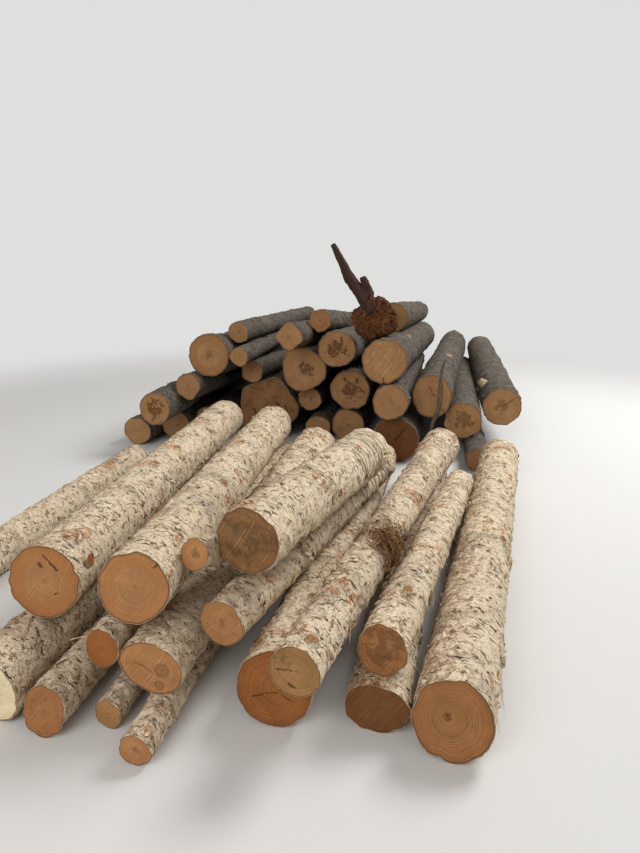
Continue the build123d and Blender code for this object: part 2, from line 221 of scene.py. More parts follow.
# Grooves round a log: metres along where they begin and end, and their spacing
GROOVES = {"front_log_17": (0.84, 1.2, 0.036), "front_log_12": (1.2, 1.7, 0.05)}
# Notches in a near end's rim: turns from the right side, and metres deep
NOTCHES = {"front_log_01": (0.712, 0.016), "back_log_20": (0.75, 0.014), "front_log_15": (0.06, 0.008)}


class Strip(NamedTuple):
    """Torn strip: the log it hangs on, its width, its path as metres along, turns and rise, and
    its tone from 0, pale, to 1, brown."""

    log: str
    width: float
    path: tuple
    tone: float = 0.2


STRIPS = (
    Strip(
        "front_log_01", 0.008,
        ((0.35, 0.0, 0.0), (0.28, -0.02, 0.008), (0.2, -0.03, 0.014), (0.13, -0.045, 0.03)),
    ),
    Strip("front_log_01", 0.006, ((0.33, -0.02, 0.0), (0.25, -0.04, 0.008), (0.16, -0.05, 0.022))),
    Strip("front_log_01", 0.01, ((0.3, 0.01, 0.0), (0.22, 0.0, 0.004), (0.15, -0.01, 0.012))),
    Strip("front_log_01", 0.006, ((0.14, -0.01, 0.0), (0.08, -0.03, 0.006), (0.02, -0.04, 0.016))),
    Strip("front_log_01", 0.014, ((1.02, 0.03, 0.0), (1.1, 0.01, 0.01), (1.16, -0.01, 0.022))),
    Strip(
        "front_log_13", 0.012,
        ((0.03, 0.4, -0.004), (0.0, 0.41, 0.012), (-0.01, 0.44, 0.034), (-0.01, 0.47, 0.055)),
    ),
    Strip("front_log_15", 0.03, ((0.06, 0.75, -0.004), (0.03, 0.75, 0.004), (0.008, 0.755, 0.02)), 0.9),
    Strip("front_log_15", 0.022, ((0.06, 0.77, -0.004), (0.02, 0.775, 0.006), (0.006, 0.78, 0.015)), 1.0),
    Strip("front_log_17", 0.014, ((1.12, 0.01, -0.003), (1.18, 0.0, 0.01), (1.22, -0.01, 0.036)), 0.0),
    Strip("front_log_17", 0.008, ((1.15, 0.04, -0.002), (1.2, 0.03, 0.012), (1.23, 0.02, 0.026))),
    Strip("front_log_06", 0.01, ((0.16, 0.28, 0.0), (0.1, 0.3, 0.012), (0.04, 0.33, 0.026)), 0.5),
    Strip("front_log_09", 0.01, ((0.46, 0.0, -0.002), (0.4, -0.02, 0.01), (0.36, -0.04, 0.022))),
    Strip("front_log_10", 0.01, ((0.3, 0.01, -0.002), (0.26, -0.01, 0.01), (0.22, -0.03, 0.02))),
    Strip("front_log_12", 0.012, ((0.42, 0.0, -0.002), (0.38, -0.02, 0.012), (0.34, -0.03, 0.024))),
)

# Where the litter lies: the log, metres along it, and turns from its right side
LITTER_LOG = "front_log_10"
LITTER_PLACE = (0.83, 0.1)

# Limbs of the stump, from its middle: metres aside, metres up, and diameter
ROOT = (
    (0, 0.04, 0.11), (-0.095, 0.165, 0.095), (-0.19, 0.27, 0.07), (-0.265, 0.4, 0.05),
    (-0.34, 0.52, 0.03),
)
PRONG = ((-0.04, 0.06, 0.09), (-0.06, 0.19, 0.07), (-0.1, 0.29, 0.04))
# The stump's cut ends, as shares of its node's box
STUMP_NEAR = (0.574, 0.156, 0.245)
STUMP_FAR = (0.771, 0.879, 0.178)
# Radii of the stump's body in metres, after the shares of its length that they stand at
STUMP_GIRTH = (0, 0.06, 0.12, 0.9, 1.0), (0.115, 0.143, 0.146, 0.12, 0.1)
# Share of the stump's length at which its limbs grow
LIMB_FOOT = 0.15
# How many splinters stand round the stump's near end
SPLINTERS = 16

# Stick in front of a back log's cut: metres aside, share of the cut's height, and diameter
LEANED_ON = "back_log_14"
STICK = (
    (-0.024, 0.005, 0.022), (0.01, 0.53, 0.026), (0.053, 0.83, 0.027), (0.06, 1.2, 0.024),
    (0.067, 1.45, 0.02), (0.089, 1.6, 0.013),
)
TWIG = ((0.055, 0.82, 0.011), (0.095, 0.8, 0.01), (0.125, 0.68, 0.008), (0.153, 0.54, 0.005))
# From the cut to the stick's middle, in metres
STICK_GAP = 0.0145


class BarkSettings(bpy.types.PropertyGroup):
    """Relief of the bark and how finely it is made."""

    front_step: bpy.props.FloatProperty(
        name="Front Step", description="Distance between points on a front log", default=0.01,
        unit="LENGTH",
    )
    back_step: bpy.props.FloatProperty(
        name="Back Step", description="Distance between points on a back log", default=0.021,
        unit="LENGTH",
    )
    swell: bpy.props.FloatProperty(
        name="Swell", description="Depth of the slow swells of a stem", default=0.0026, unit="LENGTH"
    )
    lump: bpy.props.FloatProperty(
        name="Lump", description="Depth of the lumps under the bark", default=0.0018, unit="LENGTH"
    )
    plate: bpy.props.FloatProperty(
        name="Plate", description="Depth of the steps between bark plates", default=0.0034, unit="LENGTH"
    )
    back_relief: bpy.props.FloatProperty(
        name="Back Relief", description="How much coarser the back logs' bark is", default=1.6,
        min=0.0, subtype="FACTOR",
    )
    plate_length: bpy.props.FloatProperty(
        name="Plate Length", description="Length of a bark plate along the log", default=0.036, unit="LENGTH"
    )
    plate_width: bpy.props.FloatProperty(
        name="Plate Width", description="Width of a bark plate", default=0.04, unit="LENGTH"
    )
    whorl_spacing: bpy.props.FloatProperty(
        name="Whorl Spacing", description="Distance between rings of old branches", default=0.6,
        unit="LENGTH",
    )
    whorl_rise: bpy.props.FloatProperty(
        name="Whorl Rise", description="How far a ring of old branches stands out", default=0.0065,
        unit="LENGTH",
    )
    groove: bpy.props.FloatProperty(
        name="Groove", description="Depth of the grooves round a log", default=0.004, unit="LENGTH"
    )


class FlakeSettings(bpy.types.PropertyGroup):
    """Loose flakes of bark that curl off the logs."""

    density: bpy.props.IntProperty(
        name="Front Flakes", description="Flakes on each square metre of a front log", default=190, min=0
    )
    back_density: bpy.props.IntProperty(
        name="Back Flakes", description="Flakes on each square metre of a back log", default=45, min=0
    )
    length: bpy.props.FloatProperty(
        name="Flake Length", description="Length of a flake", default=0.026, unit="LENGTH"
    )
    width: bpy.props.FloatProperty(
        name="Flake Width", description="Width of a flake", default=0.016, unit="LENGTH"
    )
    thickness: bpy.props.FloatProperty(
        name="Flake Thickness", description="Thickness of a flake", default=0.0012, unit="LENGTH"
    )
    curl: bpy.props.FloatProperty(
        name="Flake Curl", description="How far a flake's free edge lifts", default=0.0075, unit="LENGTH"
    )


class LitterSettings(bpy.types.PropertyGroup):
    """Needles and twigs caught between two front logs."""

    needles: bpy.props.IntProperty(name="Needles", description="Needles and twigs", default=420, min=1)
    spread: bpy.props.FloatProperty(
        name="Spread", description="How far the litter spreads from its middle", default=0.075, unit="LENGTH"
    )
    length: bpy.props.FloatProperty(
        name="Needle Length", description="Length of a needle", default=0.085, unit="LENGTH"
    )
    thickness: bpy.props.FloatProperty(
        name="Needle Thickness", description="Thickness of a needle", default=0.0022, unit="LENGTH"
    )


class ColourSettings(bpy.types.PropertyGroup):
    """Colours of the wood and the bark."""

    bark: bpy.props.FloatVectorProperty(
        name="Bark", description="Pale outer bark", default=(0.84, 0.7, 0.5), subtype="COLOR"
    )
    bark_warm: bpy.props.FloatVectorProperty(
        name="Warm Bark", description="Pink-brown bark under the skin", default=(0.39, 0.24, 0.145),
        subtype="COLOR",
    )
    bark_grey: bpy.props.FloatVectorProperty(
        name="Grey Bark", description="Weathered bark", default=(0.27, 0.235, 0.2), subtype="COLOR"
    )
    bark_rust: bpy.props.FloatVectorProperty(
        name="Rust Bark", description="Inner bark where flakes are gone", default=(0.47, 0.22, 0.09),
        subtype="COLOR",
    )
    # Near-black of the bark's cracks and grooves: partly painted shade in them
    crack: bpy.props.FloatVectorProperty(
        name="Crack", description="Shadowed cracks of the bark", default=(0.035, 0.024, 0.017),
        subtype="COLOR",
    )
    moss: bpy.props.FloatVectorProperty(
        name="Moss", description="Green-grey film on old bark", default=(0.25, 0.245, 0.13),
        subtype="COLOR",
    )
    # Sawn, Fresh, Amber, Straw, Weathered and Dark Wood are set darker than the wood's own colour, part of
    # the way to how these ends look in shade: in part painted shade
    sawn: bpy.props.FloatVectorProperty(
        name="Sawn Wood", description="Plain sawn end", default=(0.37, 0.17, 0.066), subtype="COLOR"
    )
    fresh: bpy.props.FloatVectorProperty(
        name="Fresh Wood", description="Freshly sawn end", default=(0.45, 0.222, 0.093), subtype="COLOR"
    )
    amber: bpy.props.FloatVectorProperty(
        name="Amber Wood", description="Resin-rich end", default=(0.32, 0.122, 0.037), subtype="COLOR"
    )
    straw: bpy.props.FloatVectorProperty(
        name="Straw Wood", description="Grey-tan end", default=(0.38, 0.2, 0.08), subtype="COLOR"
    )
    pale: bpy.props.FloatVectorProperty(
        name="Pale Wood", description="Pale dry end", default=(0.9, 0.74, 0.48), subtype="COLOR"
    )
    weathered: bpy.props.FloatVectorProperty(
        name="Weathered Wood", description="Brown weathered end", default=(0.28, 0.145, 0.062),
        subtype="COLOR",
    )
    dark: bpy.props.FloatVectorProperty(
        name="Dark Wood", description="Dark wet end", default=(0.17, 0.075, 0.028), subtype="COLOR"
    )
    shaded: bpy.props.FloatVectorProperty(
        name="Back Wood", description="Plain end of a back log", default=(0.43, 0.24, 0.11),
        subtype="COLOR",
    )
    rotten: bpy.props.FloatVectorProperty(
        name="Rotten Wood", description="Crumbling reddish wood", default=(0.14, 0.052, 0.02),
        subtype="COLOR",
    )
    stick: bpy.props.FloatVectorProperty(
        name="Stick", description="Bare weathered stick", default=(0.15, 0.115, 0.085), subtype="COLOR"
    )
    litter: bpy.props.FloatVectorProperty(
        name="Litter", description="Dry twigs and needles", default=(0.16, 0.075, 0.034), subtype="COLOR"
    )


class CutSettings(bpy.types.PropertyGroup):
    """Growth rings and marks of the sawn ends."""

    ring_width: bpy.props.FloatProperty(
        name="Ring Width", description="Width of a year's growth ring", default=0.0068, unit="LENGTH"
    )
    saw_step: bpy.props.FloatProperty(
        name="Saw Step", description="Distance between saw marks", default=0.008, unit="LENGTH"
    )


class StageSettings(bpy.types.PropertyGroup):
    """Camera, floor and lamps."""

    eye_height: bpy.props.FloatProperty(
        name="Eye Height", description="Height of the camera above the ground", default=1.5, unit="LENGTH"
    )
    eye_left: bpy.props.FloatProperty(
        name="Eye Left", description="How far the camera is left of the right front log's corner",
        default=0.2787, unit="LENGTH",
    )
    eye_back: bpy.props.FloatProperty(
        name="Eye Back", description="How far the camera is in front of the right front log",
        default=1.5781, unit="LENGTH",
    )
    eye_down: bpy.props.FloatProperty(
        name="Eye Down", description="How far the camera looks down", default=math.radians(15.4),
        subtype="ANGLE",
    )
    lens: bpy.props.FloatProperty(
        name="Lens", description="Focal length for a 36 mm long side", default=27.0, unit="CAMERA"
    )
    floor: bpy.props.FloatVectorProperty(
        name="Floor", description="Colour of the floor", default=(0.68, 0.67, 0.65), subtype="COLOR"
    )
    room: bpy.props.FloatVectorProperty(
        name="Room", description="Colour of the room behind the floor", default=(0.74, 0.74, 0.73),
        subtype="COLOR",
    )
    floor_radius: bpy.props.FloatProperty(
        name="Floor Radius", description="Radius of the floor", default=30.0, unit="LENGTH"
    )
    key_power: bpy.props.FloatProperty(
        name="Key Power", description="Power of the main lamp", default=500.0, unit="POWER"
    )
    fill_power: bpy.props.FloatProperty(
        name="Fill Power", description="Power of the front lamp", default=300.0, unit="POWER"
    )


def settings(context):
    """The stack's settings, kept on the scene."""
    return context.scene.log_stack


def unit(vector):
    """The vector at length one."""
    return vector / np.linalg.norm(vector)


def units(rows):
    """Each row at length one."""
    return rows / np.linalg.norm(rows, axis=1)[:, None]


def cartesian(radius, angle):
    """Across and up, from a distance and an angle."""
    return radius * np.cos(angle), radius * np.sin(angle)


def round_angles(sides):
    """Angles of a ring's corners, all the way round."""
    return np.arange(sides) * TURN / sides


def bell(distance, width):
    """1 at no distance, and close to 0 from twice the width on."""
    return np.exp(-((distance / width) ** 2))


def seed_of(name):
    """A number of its own for each piece, from the letters of its name."""
    return sum(ord(letter) * (place + 7) for place, letter in enumerate(name))


def node_triangles(name):
    """Corners of a CAD node's triangles, as an array of triangles by corners by x, y, z."""
    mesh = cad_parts[name].data
    points = np.empty(len(mesh.vertices) * 3)
    mesh.vertices.foreach_get("co", points)
    mesh.calc_loop_triangles()
    corners = np.empty(len(mesh.loop_triangles) * 3, dtype=np.int64)
    mesh.loop_triangles.foreach_get("vertices", corners)
    return points.reshape(-1, 3)[corners].reshape(-1, 3, 3)


class Axis:
    """A straight line with its length and its own directions: ahead, right and up."""

    def __init__(self, start, finish):
        self.start = start
        self.length = float(np.linalg.norm(finish - start))
        self.ahead = unit(finish - start)
        self.right = unit(np.cross(self.ahead, UPWARDS))
        self.up = np.cross(self.right, self.ahead)

    def outward(self, angle):
        """The direction away from the line at an angle."""
        return math.cos(angle) * self.right + math.sin(angle) * self.up


class Log(Axis):
    """A log as its CAD node has it: its axis, its cuts and the rings of its section."""

    def __init__(self, name):
        self.name, self.seed = name, seed_of(name)
        triangles = node_triangles(name)
        points = triangles.reshape(-1, 3)
        spread = np.linalg.svd(points - points.mean(axis=0), full_matrices=False)[2][0]
        rough = spread * np.sign(spread[1])
        crosses = np.cross(triangles[:, 1] - triangles[:, 0], triangles[:, 2] - triangles[:, 0])
        areas = np.linalg.norm(crosses, axis=1)
        facing = crosses @ rough / np.maximum(areas, 1e-12)
        depth = triangles.mean(axis=1) @ rough
        near = (facing < -CUT_FACING) & (depth < depth.min() + CUT_REACH)
        far = (facing > CUT_FACING) & (depth > depth.max() - CUT_REACH)
        super().__init__(*(self.centroid(triangles[cut], areas[cut]) for cut in (near, far)))
        self.read_rings(triangles[near].reshape(-1, 3), triangles[far].reshape(-1, 3), points)

    def chance(self, use):
        """The log's own random draws for one use."""
        return np.random.default_rng(self.seed + DRAWS[use])

    @staticmethod
    def centroid(triangles, areas):
        """Middle of a flat cut: its triangles' middles, weighed by their areas."""
        return (triangles.mean(axis=1) * areas[:, None]).sum(axis=0) / areas.sum()

    def local(self, points):
        """Points in the log's own directions: along, angle round and distance from the axis."""
        offset = points - self.start
        across, rise = offset @ self.right, offset @ self.up
        return offset @ self.ahead, np.arctan2(rise, across) % TURN, np.hypot(across, rise)

    def read_rings(self, near, far, points):
        """Rings of corners at the near cut, at the stations between and at the far cut."""
        along, angle, radius = self.local(points)
        share = along / self.length
        groups = [self.local(near), self.local(far)]
        # A slanted near cut reaches this share into the log, so stations come after it
        slack = 1.3 * abs(groups[0][0]).max() / self.length + 0.01
        places = np.unique(np.round(share[(share > slack) & (share < 0.99)], 3))
        first_of_each = places[np.diff(places, prepend=-1.0) > 0.01]
        for place in first_of_each:
            inside = (share > place - 0.001) & (share < place + 0.012)
            # A station goes nearly all the way round, and a lobe's or flare's corners don't
            if len(np.unique(np.round(angle[inside], 1))) > 20:
                groups.append((along[inside], angle[inside], radius[inside]))
        groups.sort(key=lambda group: group[0].mean())
        self.rings = [self.outline(*group) for group in groups]
        self.ring_shares = np.array([group[0].mean() for group in groups]) / self.length
        self.ring_shares[0], self.ring_shares[-1] = 0.0, 1.0
        self.radius = float(self.rings[0][2].mean())

    @staticmethod
    def outline(along, angle, radius):
        """The corners of a ring's rim, in order round it."""
        outer = radius > 0.5 * radius.max()
        order = np.argsort(angle[outer])
        return along[outer][order], angle[outer][order], radius[outer][order]

    def surface(self, share, angle):
        """The stem's surface: how far along and how far from the axis, at shares and angles.

        Between two rings both go straight from one ring to the next.
        """
        along, radius = 0.0, 0.0
        for i, (ring_along, ring_angle, ring_radius) in enumerate(self.rings):
            weight = np.interp(share, self.ring_shares, np.eye(len(self.rings))[i])
            along = along + weight * np.interp(angle, ring_angle, ring_along, period=TURN)
            radius = radius + weight * np.interp(angle, ring_angle, ring_radius, period=TURN)
        return along, radius

    def place(self, along, angle, radius):
        """Points in the frame from distances along, angles round and distances from the axis."""
        across, rise = cartesian(radius, angle)
        offset = np.asarray(along)[..., None] * self.ahead
        return self.start + offset + across[..., None] * self.right + rise[..., None] * self.up

    def barked(self, share, angle, bark):
        """The bark's surface: the stem's, moved out by swells, lumps, plates and whorls.

        Gives how far along, how far from the axis, and the strength of whorls and grooves.
        """
        along, radius = self.surface(share, angle)
        level, edge = plates(self, along, angle, bark.plate_length, bark.plate_width)
        step = bark.plate * (level * np.clip(edge / 0.12, 0, 1) - 0.4 * np.exp(-edge / 0.05))
        relief = bark.swell * slow_swells(self, along, angle) + bark.lump * lumps(self, along, angle)
        coarser = bark.back_relief if self.name in BACK_LOGS else 1.0
        whorl = whorls(self, along, angle, bark.whorl_spacing)
        groove = grooves(self, along, angle)
        radius = radius + coarser * (relief + step) + bark.whorl_rise * whorl - bark.groove * groove
        return along, radius - SKIN - notch(self, along, angle), whorl, groove


def slow_swells(log, along, angle):
    """Swell of a stem: waves of 1 to 5 turns round it that drift along it, summed and eased."""
    chance = log.chance("swells")
    total = 0.0
    for turns in (1, 2, 2, 3, 3, 4, 5):
        reach = chance.uniform(0.25, 1.1)
        phase, drift = chance.uniform(0, TURN, 2)
        round_it = np.cos(turns * angle + phase + 2 * along / reach)
        total = total + round_it * np.cos(along / reach * TURN + drift)
    return total / 3.5


def lumps(log, along, angle):
    """Lumps: waves 50 to 110 mm long in slanted directions over the unrolled stem, summed."""
    chance = log.chance("lumps")
    total = 0.0
    for _ in range(9):
        turns = chance.integers(-12, 13)
        length = chance.uniform(0.05, 0.11)
        total = total + np.cos(turns * angle + TURN * along / length + chance.uniform(0, TURN))
    return total / 3


def whorls(log, along, angle, spacing):
    """Rings of old branches: a bell about each ring, higher at three to five places."""
    chance = log.chance("whorls")
    steps = np.cumsum(chance.uniform(0.75, 1.3, 8)) * spacing
    total = 0.0 * (along + angle)
    for place in WHORLS.get(log.name, steps[steps < log.length]):
        knobs = 0.55 + 0.45 * np.cos(chance.integers(3, 6) * angle + chance.uniform(0, TURN))
        tilt = 0.012 * np.cos(angle + chance.uniform(0, TURN))
        total += bell(along - place - tilt, WHORL_REACH) * knobs
    return total


def grooves(log, along, angle):
    """Grooves round a log: bells at even steps, a little tilted and wavy."""
    first, last, spacing = GROOVES.get(log.name, (1.0, 0.0, 1.0))
    total = 0.0 * (along + angle)
    for step, place in enumerate(np.arange(first, last, spacing)):
        tilt = 0.008 * np.cos(angle + step) + 0.003 * np.sin(5 * angle + 2 * step)
        total += bell(along - place - tilt, GROOVE_REACH)
    return total


def notch(log, along, angle):
    """A notch in a near end's rim: a bell about its angle times a bell along the log."""
    turns, depth = NOTCHES.get(log.name, (0.0, 0.0))
    off = (angle - turns * TURN + math.pi) % TURN - math.pi
    return depth * bell(off, NOTCH_ANGLE) * bell(along, NOTCH_REACH)


def plates(log, along, angle, length, width):
    """Bark plates: cells about scattered points. Gives each place its cell's own level, and
    how far it is from the next cell, as a share of a cell."""
    chance = log.chance("plates")
    rows = round(log.length / length) + 6
    columns = max(5, round(TURN * log.radius / width))
    jitter = chance.uniform(0.08, 0.92, (rows, columns, 2))
    level = chance.uniform(-1, 1, (rows, columns))
    down = along / length + 2.0 + 0.35 * np.sin(3 * angle + 5 * along)
    beside = angle / TURN * columns + 0.0 * down
    row, column = np.floor(down).astype(int), np.floor(beside).astype(int)
    nearest = np.full(down.shape, 9.0)
    second = np.full(down.shape, 9.0)
    own_level = np.zeros(down.shape)
    for row_step in (-1, 0, 1):
        for column_step in (-1, 0, 1):
            cell = np.clip(row + row_step, 0, rows - 1), (column + column_step) % columns
            point = jitter[cell]
            gap_down = down - (row + row_step) - point[..., 0]
            gap = np.hypot(gap_down, beside - (column + column_step) - point[..., 1])
            closer = gap < nearest
            second = np.where(closer, nearest, np.minimum(second, gap))
            own_level = np.where(closer, level[cell], own_level)
            nearest = np.where(closer, gap, nearest)
    return own_level, (second - nearest) / 2


def grid_faces(rows, columns, closed=True, start=0):
    """Four-sided faces between neighbouring points of a grid kept row by row."""
    row = np.arange(rows - 1)[:, None]
    column = np.arange(columns if closed else columns - 1)[None, :]
    following = (column + 1) % columns
    corners = [row * columns + column, row * columns + following]
    corners += [(row + 1) * columns + following, (row + 1) * columns + column]
    return start + np.stack(corners, axis=-1).reshape(-1, 4)


def fan_faces(middle, ring, flipped=False):
    """Triangles from a middle point to a closed ring of points."""
    faces = np.stack([np.full(len(ring), middle), ring, np.roll(ring, -1)], axis=1)
    return faces[:, ::-1] if flipped else faces


def placed(name, data):
    """A new object in the scene for a mesh, a lamp or a camera."""
    item = bpy.data.objects.new(name, data)
    bpy.context.scene.collection.objects.link(item)
    return item


class Shape:
    """Points, faces and the values kept at the points, gathered for one mesh."""

    def __init__(self):
        self.points, self.faces, self.slots, self.values = [], [], [], {}
        self.count = 0

    def add_points(self, points, **values):
        """Add points and a value for each, or one for all. Gives the first point's number.

        A value is a number, or a vector where its last side is three.
        """
        points = np.asarray(points, dtype=float).reshape(-1, 3)
        first = self.count
        self.count += len(points)
        self.points.append(points)
        for name, value in values.items():
            value = np.asarray(value, dtype=float)
            size = (3,) if value.ndim > 1 and value.shape[-1] == 3 else ()
            rows = np.broadcast_to(value.reshape(-1, *size), (len(points), *size))
            self.values.setdefault(name, []).append(rows)
        return first

    def add_faces(self, faces, slot=0):
        """Add faces of three or four corners with one material slot."""
        self.faces.append(faces)
        self.slots.append(np.full(len(faces), slot))

    def piece(self, name, materials, smooth=True):
        """Make the mesh object, at the origin. Nothing goes below the ground."""
        mesh = bpy.data.meshes.new(name)
        points = np.concatenate(self.points)
        points[:, 2] = np.maximum(points[:, 2], 0.0)
        loops = np.concatenate([faces.ravel() for faces in self.faces]).astype(np.int32)
        sizes = np.concatenate([np.full(len(faces), faces.shape[1]) for faces in self.faces])
        starts = np.concatenate([[0], np.cumsum(sizes)[:-1]])
        mesh.vertices.add(self.count)
        mesh.vertices.foreach_set("co", points.astype(np.float32).ravel())
        mesh.loops.add(len(loops))
        mesh.loops.foreach_set("vertex_index", loops)
        mesh.polygons.add(len(sizes))
        mesh.polygons.foreach_set("loop_start", starts.astype(np.int32))
        mesh.polygons.foreach_set("loop_total", sizes.astype(np.int32))
        mesh.polygons.foreach_set("material_index", np.concatenate(self.slots).astype(np.int32))
        mesh.polygons.foreach_set("use_smooth", np.full(len(sizes), smooth))
        for material in materials:
            mesh.materials.append(material)
        for value_name, parts in self.values.items():
            filled = np.concatenate(parts).astype(np.float32)
            kind, field = ("FLOAT_VECTOR", "vector") if filled.ndim == 2 else ("FLOAT", "value")
            layer = mesh.attributes.new(value_name, kind, "POINT")
            layer.data.foreach_set(field, filled.ravel())
        mesh.update(calc_edges=True)
        mesh.validate()
        return placed(name, mesh)


def add_cut(shape, log, rim, rim_first, look, inner, slot, flipped):
    """Close an end with C(q, a): the point at share q of the way from the pith to the rim at
    angle a. The pith lies in the rim's own plane."""
    sides = len(rim)
    level = np.column_stack([np.ones(sides), rim[:, :2]])
    plane = np.linalg.lstsq(level, rim[:, 2], rcond=None)[0]
    aside, above = look.pith[0] * log.radius, look.pith[1] * log.radius
    pith = np.array([aside, above, plane @ (1.0, aside, above)])
    local = np.vstack([(pith + inner[:, None, None] * (rim - pith)).reshape(-1, 3), pith])
    first = shape.add_points(
        log.start + local @ np.stack([log.right, log.up, log.ahead]), site=local,
        cut_site=(local - pith) * (1, 1, 0), from_pith=np.append(np.repeat(inner, sides), 0.0),
        whorl=0.0, groove=0.0,
    )
    own_rings = first + np.arange(len(inner) * sides).reshape(-1, sides)
    rings = np.vstack([rim_first + np.arange(sides), own_rings])
    turned = np.roll(rings, -1, axis=1)
    band = np.stack([rings[:-1], turned[:-1], turned[1:], rings[1:]], axis=-1).reshape(-1, 4)
    shape.add_faces(band[:, ::-1] if flipped else band, slot)
    shape.add_faces(fan_faces(first + len(inner) * sides, rings[-1], flipped), slot)


def log_shape(log, step, bark, looks, aged):
    """A barked log with sawn ends: S(s, a) is the bark's surface at share s and angle a."""
    shape = Shape()
    rings, sides = round(log.length / step), round(TURN * log.radius / step)
    share = np.linspace(0, 1, rings)[:, None] ** 1.2
    angle = round_angles(sides)
    along, radius, whorl, groove = log.barked(share, angle, bark)
    site = np.stack([*cartesian(radius, angle), along], axis=-1)
    first = shape.add_points(
        log.place(along, angle, radius), site=site, cut_site=site * (1, 1, 0), from_pith=1.0,
        whorl=whorl, groove=groove,
    )
    shape.add_faces(grid_faces(rings, sides)[:, ::-1])
    last = first + (rings - 1) * sides
    add_cut(shape, log, site[0], first, looks[0], CUT_RINGS, 1, False)
    add_cut(shape, log, site[-1], last, looks[1], CUT_RINGS[::2], 2, True)
    shape.values["own_tone"] = [np.full(shape.count, log.chance("tone").uniform())]
    # Share of painted shade on the bark: 1 on the back row darkens and greys it
    shape.values["aged"] = [np.full(shape.count, aged)]
    return shape


class Graph:
    """A material's nodes, added one at a time."""

    def __init__(self, name):
        self.material = bpy.data.materials.new(name)
        self.material.use_nodes = True
        self.nodes = self.material.node_tree.nodes
        self.links = self.material.node_tree.links
        self.shader = self.nodes["Principled BSDF"]

    def add(self, kind, inputs=None, **options):
        """Add a node. An input takes a value, or another node's output."""
        node = self.nodes.new(kind)
        for option, value in options.items():
            setattr(node, option, value)
        for key, value in (inputs or {}).items():
            self.put(node.inputs[key], value)
        return node

    def put(self, socket, value):
        """Link an output to a socket, or set the socket's value."""
        if isinstance(value, bpy.types.NodeSocket):
            self.links.new(value, socket)
        else:
            socket.default_value = value

    def vector_of(self, attribute):
        """A vector kept at the mesh's points."""
        return self.add("ShaderNodeAttribute", attribute_name=attribute).outputs["Vector"]

    def value_of(self, attribute):
        """A number kept at the mesh's points."""
        return self.add("ShaderNodeAttribute", attribute_name=attribute).outputs["Fac"]

    def own_place(self, attribute, step):
        """A place on the piece, moved by the piece's own tone so that no two look alike."""
        shift = self.math("MULTIPLY", self.value_of("own_tone"), step)
        offset = self.add("ShaderNodeCombineXYZ", {"X": shift, "Z": shift}).outputs["Vector"]
        return self.vectors("ADD", self.vector_of(attribute), offset)

    def vectors(self, operation, first, second=(0.0, 0.0, 0.0)):
        """One sum of vectors. Distances, lengths and dot products come out as numbers."""
        node = self.add("ShaderNodeVectorMath", {0: first, 1: second}, operation=operation)
        as_number = operation in ("DISTANCE", "LENGTH", "DOT_PRODUCT")
        return node.outputs["Value" if as_number else "Vector"]

    def part(self, vector, name):
        """One of a vector's X, Y and Z."""
        return self.add("ShaderNodeSeparateXYZ", {0: vector}).outputs[name]

    def stretched(self, vector, scale, turn=(0.0, 0.0, 0.0)):
        """The vector turned, with each direction scaled."""
        inputs = {"Vector": vector, "Scale": scale, "Rotation": turn}
        return self.add("ShaderNodeMapping", inputs).outputs["Vector"]

    def noise(self, vector, scale, detail=4.0, roughness=0.55, distortion=0.0, output="Fac"):
        """Cloudy noise from 0 to 1."""
        inputs = {"Vector": vector, "Scale": scale, "Detail": detail, "Roughness": roughness}
        inputs["Distortion"] = distortion
        return self.add("ShaderNodeTexNoise", inputs).outputs[output]

    def patches(self, place, scale, detail, *ramp, roughness=0.55):
        """Soft patches: cloudy noise through a ramp."""
        return self.ramp(self.noise(place, scale, detail, roughness), *ramp)

    def line_noise(self, value, detail=2.0):
        """Noise along one number."""
        inputs = {"W": value, "Scale": 1.0, "Detail": detail}
        return self.add("ShaderNodeTexNoise", inputs, noise_dimensions="1D").outputs["Fac"]

    def cells(self, vector, scale, feature="DISTANCE_TO_EDGE", output="Distance"):
        """Cells about scattered points."""
        node = self.add("ShaderNodeTexVoronoi", {"Vector": vector, "Scale": scale}, feature=feature)
        return node.outputs[output]

    def ramp(self, value, low, high, start=0.0, end=1.0):
        """Start at low and below, end at high and above, smooth between."""
        inputs = {"Value": value, "From Min": low, "From Max": high, "To Min": start, "To Max": end}
        return self.add("ShaderNodeMapRange", inputs, interpolation_type="SMOOTHSTEP").outputs["Result"]

    def math(self, operation, *values):
        """One sum of numbers."""
        return self.add("ShaderNodeMath", dict(enumerate(values)), operation=operation).outputs["Value"]

    def times(self, first, second):
        """The product of two numbers."""
        return self.math("MULTIPLY", first, second)

    def total(self, *weighted):
        """Sum of values times their weights."""
        result = 0.0
        for value, weight in weighted:
            result = self.math("MULTIPLY_ADD", value, weight, result)
        return result

    def mix(self, factor, first, second):
        """Blend two colours."""
        node = self.nodes.new("ShaderNodeMix")
        node.data_type = "RGBA"
        self.put(node.inputs["Factor"], factor)
        sockets = {socket.name: socket for socket in node.inputs if socket.type == "RGBA"}
        self.put(sockets["A"], solid(first))
        self.put(sockets["B"], solid(second))
        return [socket for socket in node.outputs if socket.type == "RGBA"][0]

    def coat(self, tint, value, *ramp):
        """Lay a colour over what is there, by a value or by the value's ramp."""
        self.tint = self.mix(self.ramp(value, *ramp) if ramp else value, self.tint, tint)

    def stroke(self, place, start, end, width):
        """1 along the straight line between two places, fading to 0 at its width."""
        start, run = np.array(start), np.array(end) - np.array(start)
        offset = self.vectors("SUBTRACT", place, tuple(start))
        share = self.vectors("DOT_PRODUCT", offset, tuple(run / (run @ run)))
        share = self.add("ShaderNodeClamp", {"Value": share}).outputs["Result"]
        nearest = self.add("ShaderNodeVectorMath", {0: tuple(run), "Scale": share}, operation="SCALE")
        away = self.vectors("DISTANCE", offset, nearest.outputs["Vector"])
        return self.ramp(away, 0.4 * width, width, 1.0, 0.0)

